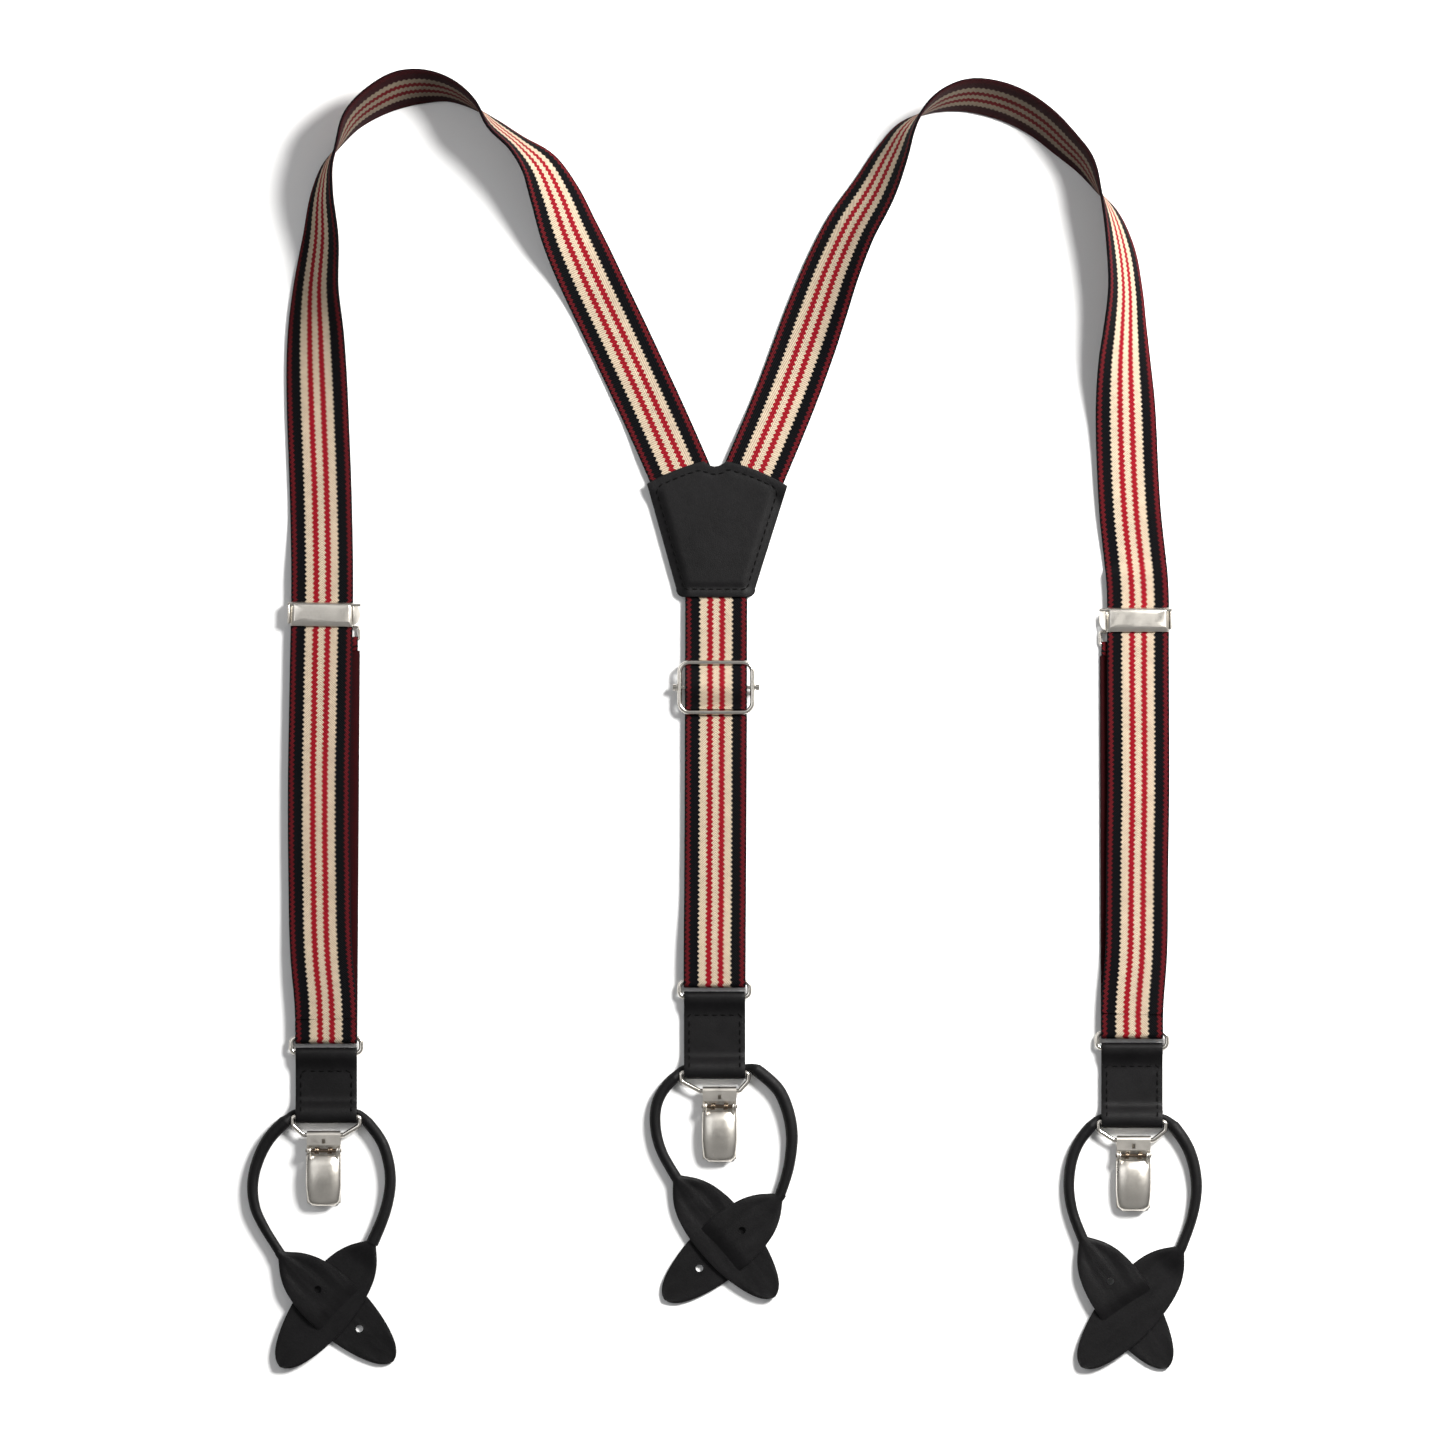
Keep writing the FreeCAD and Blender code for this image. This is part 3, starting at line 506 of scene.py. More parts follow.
def woven_stripes(name, settings, dim_as_painted_shade):
    """Herringbone webbing: stripes that zigzag with every second of the weave's ribs."""
    w = Weave(name)
    uv = w.node("ShaderNodeSeparateXYZ")
    w.put(uv.inputs[0], w.coords.outputs["UV"])
    u, v = uv.outputs[0], uv.outputs[1]
    repeat = settings.twill_repeat
    half = settings.width / 2
    zigzag = w.sum("SUBTRACT", w.sum("PINGPONG", v, repeat / 2), repeat / 4)
    side = w.sum("ABSOLUTE", w.sum("ADD", u, zigzag))
    share = w.sum("DIVIDE", side, half)
    black, maroon = Vector(settings.black), Vector(settings.maroon)
    cream, red = Vector(settings.cream), Vector(settings.red)
    # the reverse is the face's stripes with cream, red and maroon dimmed to about a third: painted
    # shade for where the reverse shows in the arches; its black takes a little maroon
    if dim_as_painted_shade:
        black = black.lerp(maroon, 0.2)
        cream, red, maroon = cream * 0.36, red * 0.36, maroon * 0.32
    stops = ((0.0, cream), (0.1, red), (0.283, cream), (0.52, black), (0.82, maroon),
             (0.94, black))
    colour = w.ramp(share, stops, stepped=True)
    # the twill's ribs lean away from the middle on both sides
    fine = repeat / 2
    lean = w.sum("ADD", v, w.sum("ABSOLUTE", u))
    rib = w.sum("DIVIDE", w.sum("PINGPONG", lean, fine / 2), fine / 2)
    picks = w.sum("DIVIDE", w.sum("PINGPONG", w.sum("SUBTRACT", v, u), 0.00024), 0.00024)
    ends = w.sum("DIVIDE", w.sum("PINGPONG", u, 0.0003), 0.0003)
    # the rib ramp darkens the grooves between the ribs and lightens their crests: painted shade
    # and a faint painted highlight
    shade = w.ramp(rib, ((0.0, Vector((0.26, 0.24, 0.24))), (0.5, Vector((0.95, 0.95, 0.95))),
                         (1.0, Vector((1.12, 1.1, 1.08)))))
    colour = w.tint(colour, 0.85, shade)
    patchy = w.ramp(w.noise(380.0), ((0.3, Vector((0.82, 0.82, 0.84))), (0.7, Vector((1.1,) * 3))))
    colour = w.tint(colour, 0.6, patchy)
    fluff = w.ramp(w.noise(4200.0, 2.0), ((0.3, Vector((0.75,) * 3)), (0.7, Vector((1.12,) * 3))))
    w.put(w.shader.inputs["Base Color"], w.tint(colour, 0.5, fluff))
    w.put(w.shader.inputs["Roughness"], w.span(rib, 0.0, 1.0, 0.9, 0.72))
    w.shader.inputs["Sheen Weight"].default_value = 0.005
    w.shader.inputs["Sheen Roughness"].default_value = 0.5
    w.shader.inputs["Specular IOR Level"].default_value = 0.06
    height = w.sum("ADD", w.sum("MULTIPLY", rib, 0.7), w.sum("MULTIPLY", picks, 0.18))
    height = w.sum("ADD", height, w.sum("MULTIPLY", ends, 0.18))
    normal = w.raise_by(height, 0.00028, 0.8)
    w.put(w.shader.inputs["Normal"], w.raise_by(w.noise(2600.0), 0.00006, 0.5, normal))
    return w.material


def black_leather(name, settings, creased=False):
    w = Weave(name)
    pores = w.cells(1500.0)
    grain = w.noise(900.0, 4.0, 0.6)
    base = Vector(settings.colour)
    colour = w.ramp(w.noise(70.0, 3.0), ((0.3, base * 0.75), (0.7, base * 1.35)))
    colour = w.tint(colour, 0.5, w.ramp(grain, ((0.35, Vector((0.7,) * 3)),
                                                (0.7, Vector((1.25,) * 3)))))
    w.put(w.shader.inputs["Base Color"], colour)
    w.put(w.shader.inputs["Roughness"], w.span(w.noise(220.0), 0.3, 0.7, settings.roughness - 0.06,
                                               settings.roughness + 0.1))
    w.shader.inputs["Specular IOR Level"].default_value = 0.13
    height = w.sum("ADD", w.span(pores, 0.0, 0.25), w.sum("MULTIPLY", grain, 0.6))
    normal = w.raise_by(height, 0.00007, 0.55)
    if creased:
        stretched = w.node("ShaderNodeMapping")
        w.put(stretched.inputs["Vector"], w.coords.outputs["UV"])
        stretched.inputs["Scale"].default_value = (150.0, 34.0, 1.0)
        folds = w.noise(1.0, 2.0, 0.5, stretched.outputs[0])
        normal = w.raise_by(w.span(folds, 0.3, 0.7), 0.0007, 0.28, normal)
    else:
        normal = w.raise_by(w.noise(110.0, 2.0), 0.0006, 0.35, normal)
    w.put(w.shader.inputs["Normal"], normal)
    return w.material


def sewing_thread(name):
    w = Weave(name)
    turns = w.node("ShaderNodeTexWave", bands_direction="DIAGONAL")
    turns.inputs["Scale"].default_value = 900.0
    w.put(turns.inputs["Vector"], w.coords.outputs["Object"])
    shades = ((0.0, Vector((0.001,) * 3)), (1.0, Vector((0.003,) * 3)))
    w.put(w.shader.inputs["Base Color"], w.ramp(turns.outputs[1], shades))
    w.shader.inputs["Roughness"].default_value = 0.8
    w.shader.inputs["Specular IOR Level"].default_value = 0.06
    w.put(w.shader.inputs["Normal"], w.raise_by(turns.outputs[1], 0.0001, 0.6))
    return w.material


def nickel(name, settings, brushed, shade=(1.0, 1.0, 1.0)):
    """Nickel plate: bright on wire, brushed across on sheet, with faint tarnish in patches."""
    w = Weave(name)
    # shade darkens and browns the whole finish: for the hinge's springs and pins it is painted
    # shade of the gap between the clip's plate and jaw
    base = Vector([c * s for c, s in zip(settings.colour, shade)])
    tarnish = w.noise(140.0, 4.0, 0.6)
    colour = w.ramp(tarnish, ((0.3, base * 0.8), (0.62, base)))
    w.put(w.shader.inputs["Base Color"], colour)
    w.shader.inputs["Metallic"].default_value = 1.0
    rough = settings.brushed_roughness if brushed else settings.bright_roughness
    w.put(w.shader.inputs["Roughness"], w.span(tarnish, 0.35, 0.7, rough + 0.12, rough))
    grooves = w.node("ShaderNodeMapping")
    w.put(grooves.inputs["Vector"], w.coords.outputs["Object"])
    grooves.inputs["Scale"].default_value = (90.0, 5200.0, 900.0) if brushed else (300.0,) * 3
    streaks = w.noise(1.0, 2.0, 0.5, grooves.outputs[0])
    normal = w.raise_by(streaks, 0.00004 if brushed else 0.00002, 0.45 if brushed else 0.2)
    w.put(w.shader.inputs["Normal"], normal)
    return w.material


def grip_rubber(name):
    w = Weave(name)
    colour = w.ramp(w.noise(500.0), ((0.3, Vector((0.012,) * 3)), (0.7, Vector((0.03,) * 3))))
    w.put(w.shader.inputs["Base Color"], colour)
    w.shader.inputs["Roughness"].default_value = 0.65
    w.put(w.shader.inputs["Normal"], w.raise_by(w.noise(1800.0), 0.00005, 0.5))
    return w.material


def pale_floor(name, settings):
    w = Weave(name)
    w.put(w.shader.inputs["Base Color"], (*settings.floor_colour, 1.0))
    w.shader.inputs["Roughness"].default_value = 0.9
    w.shader.inputs["Specular IOR Level"].default_value = 0.05
    return w.material


def finish(name):
    """One of the braces' finishes, made when it is first asked for."""
    scene = bpy.context.scene
    if name in bpy.data.materials:
        return bpy.data.materials[name]
    makers = {
        "webbing_face": lambda: woven_stripes(name, scene.braces_webbing, False),
        # the reverse is a dimmed copy of the face: painted shade
        "webbing_reverse_painted_shade": lambda: woven_stripes(name, scene.braces_webbing, True),
        "smooth_leather": lambda: black_leather(name, scene.braces_leather),
        "creased_leather": lambda: black_leather(name, scene.braces_leather, True),
        "sewing_thread": lambda: sewing_thread(name),
        "bright_nickel": lambda: nickel(name, scene.braces_metal, False),
        "brushed_nickel": lambda: nickel(name, scene.braces_metal, True),
        # the springs and clip pins: nickel darkened and browned, painted shade of the hinge's gap
        "hinge_nickel_painted_shade": lambda: nickel(name, scene.braces_metal, False, (0.3, 0.24, 0.19)),
        "grip_rubber": lambda: grip_rubber(name),
        "pale_floor": lambda: pale_floor(name, scene.braces_stage),
    }
    return makers[name]()


def webbing_pair():
    return [finish("webbing_face"), finish("webbing_reverse_painted_shade")]


# --- repeated detail -----------------------------------------------------------------------------

def tree_with_inputs(name, inputs):
    """A Geometry Nodes tree with named inputs, its Group Input and its Group Output."""
    tree = bpy.data.node_groups.get(name)
    if tree:
        bpy.data.node_groups.remove(tree)
    tree = bpy.data.node_groups.new(name, "GeometryNodeTree")
    tree.interface.new_socket("Geometry", in_out="INPUT", socket_type="NodeSocketGeometry")
    tree.interface.new_socket("Geometry", in_out="OUTPUT", socket_type="NodeSocketGeometry")
    for label, kind, default in inputs:
        socket = tree.interface.new_socket(label, in_out="INPUT", socket_type=kind)
        if default is not None:
            socket.default_value = default
    return tree, tree.nodes.new("NodeGroupInput"), tree.nodes.new("NodeGroupOutput")


def coated(tree, shape, material, result):
    """Ends a tree: its shape made real, smooth and given its material."""
    real = tree.nodes.new("GeometryNodeRealizeInstances")
    soft = tree.nodes.new("GeometryNodeSetShadeSmooth")
    coat = tree.nodes.new("GeometryNodeSetMaterial")
    for out, into in ((shape, real.inputs[0]), (real.outputs[0], soft.inputs[0]),
                      (soft.outputs[0], coat.inputs["Geometry"]),
                      (material, coat.inputs["Material"]), (coat.outputs[0], result.inputs[0])):
        tree.links.new(out, into)


def stitch_tree():
    """Lays one thread stitch after another along a seam line."""
    tree, given, result = tree_with_inputs("thread_stitches", (
        ("Pitch", "NodeSocketFloat", 0.0033), ("Stitch Length", "NodeSocketFloat", 0.0023),
        ("Thread Width", "NodeSocketFloat", 0.0006), ("Thread", "NodeSocketMaterial", None)))
    to_curve = tree.nodes.new("GeometryNodeMeshToCurve")
    spaced = tree.nodes.new("GeometryNodeResampleCurve")
    spaced.mode = "LENGTH"
    lay = tree.nodes.new("GeometryNodeInstanceOnPoints")
    tangent = tree.nodes.new("GeometryNodeInputTangent")
    turned = tree.nodes.new("FunctionNodeAlignRotationToVector")
    turned.axis = "X"
    bead = tree.nodes.new("GeometryNodeMeshUVSphere")
    bead.inputs["Segments"].default_value = 8
    bead.inputs["Rings"].default_value = 6
    bead.inputs["Radius"].default_value = 0.5
    size = tree.nodes.new("ShaderNodeCombineXYZ")
    shaped = tree.nodes.new("GeometryNodeTransform")
    for out, into in (
            (given.outputs["Geometry"], to_curve.inputs[0]),
            (to_curve.outputs[0], spaced.inputs["Curve"]),
            (given.outputs["Pitch"], spaced.inputs["Length"]),
            (spaced.outputs[0], lay.inputs["Points"]),
            (given.outputs["Stitch Length"], size.inputs[0]),
            (given.outputs["Thread Width"], size.inputs[1]),
            (given.outputs["Thread Width"], size.inputs[2]),
            (bead.outputs[0], shaped.inputs["Geometry"]),
            (size.outputs[0], shaped.inputs["Scale"]),
            (shaped.outputs[0], lay.inputs["Instance"]),
            (tangent.outputs[0], turned.inputs["Vector"]),
            (turned.outputs[0], lay.inputs["Rotation"])):
        tree.links.new(out, into)
    coated(tree, lay.outputs[0], given.outputs["Thread"], result)
    return tree


def spring_tree():
    """Winds a small torsion spring round a pin that lies along X."""
    tree, given, result = tree_with_inputs("torsion_spring", (
        ("Turns", "NodeSocketFloat", 3.0), ("Coil Radius", "NodeSocketFloat", 0.00115),
        ("Coil Length", "NodeSocketFloat", 0.0017), ("Wire Radius", "NodeSocketFloat", 0.0003),
        ("Middle", "NodeSocketVector", None), ("Metal", "NodeSocketMaterial", None)))
    coil = tree.nodes.new("GeometryNodeCurveSpiral")
    coil.inputs["Resolution"].default_value = 28
    wire = tree.nodes.new("GeometryNodeCurvePrimitiveCircle")
    wire.inputs["Resolution"].default_value = 10
    skin = tree.nodes.new("GeometryNodeCurveToMesh")
    skin.inputs["Fill Caps"].default_value = True
    laid = tree.nodes.new("GeometryNodeTransform")
    laid.inputs["Rotation"].default_value = (0.0, math.pi / 2, 0.0)
    for out, into in (
            (given.outputs["Turns"], coil.inputs["Rotations"]),
            (given.outputs["Coil Radius"], coil.inputs["Start Radius"]),
            (given.outputs["Coil Radius"], coil.inputs["End Radius"]),
            (given.outputs["Coil Length"], coil.inputs["Height"]),
            (given.outputs["Wire Radius"], wire.inputs["Radius"]),
            (coil.outputs[0], skin.inputs["Curve"]),
            (wire.outputs[0], skin.inputs["Profile Curve"]),
            (skin.outputs[0], laid.inputs["Geometry"]),
            (given.outputs["Middle"], laid.inputs["Translation"])):
        tree.links.new(out, into)
    coated(tree, laid.outputs[0], given.outputs["Metal"], result)
    return tree


def grown(name, tree, values, points=(), edges=()):
    """A piece grown by a Geometry Nodes tree on a bare line, as a plain mesh."""
    mesh = bpy.data.meshes.new(name)
    mesh.from_pydata([tuple(p) for p in points], list(edges), [])
    piece = shown(name, mesh)
    grower = piece.modifiers.new(tree.name, "NODES")
    grower.node_group = tree
    for item in tree.interface.items_tree:
        if item.item_type == "SOCKET" and item.in_out == "INPUT" and item.name in values:
            grower[item.identifier] = values[item.name]
    applied(piece)
    if not piece.data.polygons:
        raise RuntimeError(name + " grew nothing")
    return piece


def seam(name, points, closed=False, pitch=None):
    """A row of stitches through points in the frame."""
    settings = bpy.context.scene.braces_leather
    edges = [(i, i + 1) for i in range(len(points) - 1)]
    if closed:
        edges.append((len(points) - 1, 0))
    values = {"Pitch": pitch or settings.stitch_pitch,
              "Stitch Length": settings.stitch_pitch * 0.72,
              "Thread Width": settings.thread_width, "Thread": finish("sewing_thread")}
    return grown(name, stitch_tree(), values, points, edges)


# --- webbing -------------------------------------------------------------------------------------

def front_lift(y, roll):
    if roll > 0.6:
        return 0.0
    if y < 0:
        return 2.4 + ease((-70 - y) / 40) * 1.2
    return 2.4 * (1 - ease((y - 56) / 30))


def front_stations(side):
    """The front strap's sections, from the ring over the shoulder to the patch."""
    mirror = -1 if side == "right" else 1
    line = smooth_rows(STRAP_RUNS[side], 2.0)
    patch_y = STRAP_RUNS[side][-1][1]
    past_arch, along, stations = False, 0.0, []
    for i, p in enumerate(line):
        way = line[min(i + 1, len(line) - 1)] - line[max(i - 1, 0)]
        way.z = 0
        way.normalize()
        degrees = max(p.z, 0.0)
        roll = math.radians(degrees)
        side_way = way.cross(Vector((0, 0, 1)))
        wide = side_way * math.cos(roll) + Vector((0, 0, 1)) * math.sin(roll)
        face = wide.cross(way)
        past_arch = past_arch or degrees > 100
        lift = 1.3 * ease((patch_y + 30 - p.y) / 20) if past_arch else front_lift(p.y, degrees)
        z = lift + WEB_HALF * abs(math.sin(roll)) + WEB_THICK / 2 * abs(math.cos(roll))
        middle = sheet_point(mirror * p.x, p.y, z)
        if mirror < 0:
            wide, face = Vector((wide.x, -wide.y, -wide.z)), Vector((-face.x, face.y, face.z))
        if i:
            along += (middle - stations[-1][0]).length
        stations.append((middle, wide, face, along))
    return stations


def return_points(side):
    """Middle line of the layer that turns round the ring's bar and comes back up behind."""
    (x, y), _, _ = END_PLACES[side]
    if side == "back":
        top_y, shift = SLIDE_AT[1] - y - 11.5, 0.6
    else:
        at, _ = ADJUSTERS[side]
        top_y = at[1] - y - 14.6
        shift = at[0] - x + (RETURN_SHIFT if side == "left" else -RETURN_SHIFT)
    local = [(0.0, SEAM_RISE * (1 - i / 4), RING_Z + TURN_R) for i in range(5)]
    for i in range(1, 16):
        a = math.pi / 2 + math.pi * i / 15
        local.append((0.0, TURN_R * math.cos(a), RING_Z + TURN_R * math.sin(a)))
    steps = round(top_y / 2.0)
    local += [(shift * i / steps, top_y * i / steps, WEB_THICK / 2) for i in range(1, steps + 1)]
    return [sheet_point(x + dx, y + dy, z) for dx, dy, z in local]


def return_stations(side):
    points = return_points(side)
    stations, along = [], 0.0
    for i, p in enumerate(points):
        way = points[min(i + 1, len(points) - 1)] - points[max(i - 1, 0)]
        way.normalize()
        wide = Vector((1, 0, 0))
        wide = (wide - way * wide.dot(way)).normalized()
        if i:
            along -= (p - points[i - 1]).length
        stations.append((p, wide, way.cross(wide), along))
    return stations


class BRACES_OT_front_straps(bpy.types.Operator):
    """Weave the two front straps, from their rings over the shoulders to the patch"""
    bl_idname = "braces.front_straps"
    bl_label = "Front Straps"
    bl_options = {"REGISTER", "UNDO"}

    def execute(self, context):
        for side in ("left", "right"):
            stations = front_stations(side)
            strap = swept("front_strap_" + side, stations, [web_profile()] * len(stations),
                          webbing_pair())
            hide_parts("webbing_front_" + side)
            (x, y), _ = ADJUSTERS[side]
            start = sheet_point(x, y - 5, 3.0)
            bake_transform(strap)
        return {"FINISHED"}


class BRACES_OT_back_strap(bpy.types.Operator):
    """Weave the single back strap and the webbing that humps over the slide's bar"""
    bl_idname = "braces.back_strap"
    bl_label = "Back Strap"
    bl_options = {"REGISTER", "UNDO"}

    def execute(self, context):
        line = smooth_rows([(x, y, z) for x, y, z in BACK_RUN], 2.0)
        points = [sheet_point(*p) for p in line]
        stations = flat_stations(points)
        strap = swept("back_strap", stations, [web_profile()] * len(stations), webbing_pair())
        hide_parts("webbing_back")
        start = sheet_point(SLIDE_AT[0], SLIDE_AT[1] - 11, 2.2)
        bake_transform(strap)
        rows = smooth_rows(((-8.7, 3.2, 0), (-7.2, 3.35, 0), (-5.6, 3.9, 0), (-3.4, 4.9, 0),
                            (-1.6, 5.6, 0), (0.0, 5.8, 0), (1.6, 5.6, 0), (3.4, 4.9, 0),
                            (5.6, 3.9, 0), (7.2, 3.35, 0), (8.7, 3.2, 0)), 0.6)
        x, y = SLIDE_AT
        points = [sheet_point(x, y + r.x, r.y + 0.45) for r in rows]
        stations = flat_stations(points)
        shift = sum((b - a).length for a, b in zip(points, points[1:])) / 2
        stations = [(p, w, f, s - shift) for p, w, f, s in stations]
        profile = web_profile(half=WEB_HALF - 0.05, thick=1.0)
        hump = swept("webbing_hump", stations, [profile] * len(stations), webbing_pair())
        mount_piece(hump, "slide_back", "webbing", "webbing_over_bar")
        return {"FINISHED"}


class BRACES_OT_returns(bpy.types.Operator):
    """Turn each strap round its ring and bring it back up behind to its adjuster"""
    bl_idname = "braces.returns"
    bl_label = "Returning Layers"
    bl_options = {"REGISTER", "UNDO"}

    def execute(self, context):
        for side in ENDS:
            stations = return_stations(side)
            layer = swept("returning_layer_" + side, stations, [web_profile()] * len(stations),
                          webbing_pair())
            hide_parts("webbing_return_" + side)
            (x, y), _, _ = END_PLACES[side]
            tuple(stations[-1][0])
            sheet_point(x, y + 8, 0.6)
            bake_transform(layer)
        for side, ((x, y), lean) in ADJUSTERS.items():
            place = placed(x, y, lean, side)
            outline = [(-14.5, 0.05), (-9.9, 0.02), (-9.2, 0.25), (-8.86, 0.7), (-8.8, 1.15),
                       (-8.95, 1.65), (-9.4, 2.05), (-10.0, 2.2), (-12.6, 2.15), (-13.8, 2.0),
                       (-14.4, 1.75), (-14.6, 1.3)]
            hem = across_solid("webbing_hem_fold_" + side, outline, 12.2, shifted(place, 2.5),
                               webbing_pair(), edge=0.3)
            mount_piece(hem, "adjuster_" + side, "webbing", "webbing_hem_" + side)
            points = [place(2.5 + u, -12.7, 2.2) for u in (-11.4, 11.4)]
            mount_piece(seam("hem_stitches_" + side, points, pitch=0.0022), "adjuster_" + side,
                        "webbing")
        return {"FINISHED"}


# --- leather -------------------------------------------------------------------------------------

def placed(x, y, lean=0.0, side="left"):
    """A call that puts local millimetres at (x, y) on the sheet, leaning, and mirrored on the
    right."""
    turn = Matrix.Rotation(math.radians(lean), 3, "Z")
    mirror = -1 if side == "right" else 1

    def place(u, v, w):
        return (turn @ Vector((mirror * u, v, w)) + Vector((x, y, 0)) + SHEET_SHIFT) * MM
    return place


def shifted(place, dx):
    return lambda u, v, w: place(u + dx, v, w)


def patch_outline():
    tl, tr = (-31.7, 95.6), (25.0, 94.8)
    bump_l, notch, bump_r = (-8.7, 104.8), (-4.0, 102.7), (0.2, 104.8)
    side_l, foot_l, foot_r, side_r = (-19.9, 53.4), (-16.6, 50.0), (9.0, 50.0), (12.0, 53.4)
    line = arc_points(foot_r, (11.3, 51.0), side_r, 6)
    line += line_points(side_r, tr, 26)
    line += arc_points(tr, (12.9, 100.9), bump_r, 22)
    line += arc_points(bump_r, notch, bump_l, 14)
    line += arc_points(bump_l, (-19.8, 101.3), tl, 22)
    line += line_points(tl, side_l, 26)
    line += arc_points(side_l, (-19.1, 51.0), foot_l, 6)
    line += line_points(foot_l, foot_r, 14)
    return line


def front_patch_height(x, y, depth):
    """Underside of the front leather, a distance in from its edge: it is pulled down to the rear
    one wherever no strap lies between them."""
    over_straps = ease((y - 87) / 7)
    over_foot = ease((55.5 - y) / 3) * (1 - ease((abs(x + 3.8) - 11.5) / 3))
    return 1.28 + 1.62 * max(over_straps, over_foot, ease((depth - 0.6) / 5.5))


def rear_patch_height(x, y, depth):
    return 0.02


def edge_distance(x, y, outline):
    """How far a place is from a closed outline."""
    best = 1e9
    for i, (ax, ay) in enumerate(outline):
        bx, by = outline[(i + 1) % len(outline)]
        ux, uy = bx - ax, by - ay
        t = ((x - ax) * ux + (y - ay) * uy) / (ux * ux + uy * uy)
        t = min(1.0, max(0.0, t))
        best = min(best, math.hypot(x - ax - t * ux, y - ay - t * uy))
    return best


def filled(outline, spacing, margin):
    """Points and triangles that fill an outline; its own points come first."""
    xs, ys = zip(*outline)
    points = [Vector(p) for p in outline]
    rows = int((max(ys) - min(ys)) / (spacing * 0.866)) + 2
    for row in range(rows):
        y = min(ys) + row * spacing * 0.866
        x = min(xs) + (row % 2) * spacing / 2
        while x < max(xs):
            inside = False
            for i, (ax, ay) in enumerate(outline):
                bx, by = outline[i - 1]
                if (ay > y) != (by > y) and x < (bx - ax) * (y - ay) / (by - ay) + ax:
                    inside = not inside
            if inside and edge_distance(x, y, outline) > margin:
                points.append(Vector((x, y)))
            x += spacing
    ring = [(i, (i + 1) % len(outline)) for i in range(len(outline))]
    made, _, faces, *_ = delaunay_2d_cdt(points, ring, [], 1, 1e-6)
    if len(made) != len(points):
        raise RuntimeError("the leather's fill moved its edge")
    return points, faces


def leather_plate(name, outline, height, node):
    """A cut leather piece on the harness with rounded edges, dipped along its seam. Gives back
    the seam's points."""
    levels = [(0.12, 0.03), (0.0, 0.25), (0.0, 0.75), (0.12, 0.94), (0.5, 1.0)]
    count = len(outline)
    verts = []
    for depth, share in levels:
        ring = inset(outline, depth)
        verts += [sheet_point(x, y, height(x, y, depth) + LEATHER * share) for x, y in ring]
    faces = tube_faces(len(levels), count)
    for level, over in ((len(levels) - 1, True), (0, False)):
        ring = inset(outline, levels[level][0])
        points, triangles = filled(ring, 1.1, 0.7)
        base = len(verts) - count
        for p in points[count:]:
            depth = edge_distance(p.x, p.y, outline)
            z = height(p.x, p.y, depth)
            if over:
                dip = math.exp(-((depth - SEAM_DEPTH) / 0.55) ** 2)
                z += LEATHER * (1.0 - 0.14 * dip + 0.04 * ease((depth - SEAM_DEPTH) / 3))
            verts.append(sheet_point(p.x, p.y, z))
        for triangle in triangles:
            faces.append(tuple(level * count + k if k < count else base + k for k in triangle))
    plate = new_piece(name, verts, faces, [finish("smooth_leather")])
    mount_piece(plate, "harness", "leather", node)
    line = [p for p in inset(outline, SEAM_DEPTH)
            if edge_distance(*p, outline) > SEAM_DEPTH * 0.97]
    return [sheet_point(x, y, height(x, y, SEAM_DEPTH) + LEATHER * 0.86 + 0.12) for x, y in line]


class BRACES_OT_patches(bpy.types.Operator):
    """Cut and sew the front and rear leather of the Y patch"""
    bl_idname = "braces.patches"
    bl_label = "Y Patch"
    bl_options = {"REGISTER", "UNDO"}

    def execute(self, context):
        outline = patch_outline()
        for where, height in (("rear", rear_patch_height), ("front", front_patch_height)):
            points = leather_plate("y_patch_" + where, outline, height, "patch_" + where)
            if where == "rear":
                points = [Vector((p.x, p.y, 0.00012)) for p in points]
            else:
                points = points[6:] + points[:6]
            mount_piece(seam("y_patch_stitches_" + where, points, closed=True), "harness",
                        "leather")
        return {"FINISHED"}


def tab_line(length):
    """Middle line of a tab's leather strip, in (y, z) from the ring's upper bar: up behind, round
    the ring's lower bar, down the front and round the lower fold."""
    top, bottom = -RING_BARS, -RING_BARS - length
    t = LEATHER / 2
    r = 1.66
    line = [(bottom + 9.0, t), (bottom + 14.0, t), (top - 12, t), (top - 7.0, t),
            (top - 4.0, t + 0.02), (top - 2.0, t + 0.12)]
    for degrees in range(-90, 91, 15):
        a = math.radians(degrees)
        line.append((top + r * math.cos(a), RING_Z + r * math.sin(a)))
    line += [(top - 1.5, RING_Z + r - 0.12), (top - 3.4, 3.1), (top - 5.4, 2.3), (top - 7.4, 1.94),
             (top - 10.0, 1.9), (bottom + 14.0, 1.9), (bottom + 10.5, 1.95), (bottom + 9.0, 2.3),
             (bottom + 7.5, 3.4), (bottom + 6.2, 4.6), (bottom + 5.0, 5.25),
             (bottom + 3.4, 5.35), (bottom + 1.9, 5.2), (bottom + 0.9, 4.6), (bottom + 0.6, 3.6),
             (bottom + 0.6, 1.7), (bottom + 0.9, 0.95), (bottom + 1.8, 0.62), (bottom + 4.5, t)]
    return line


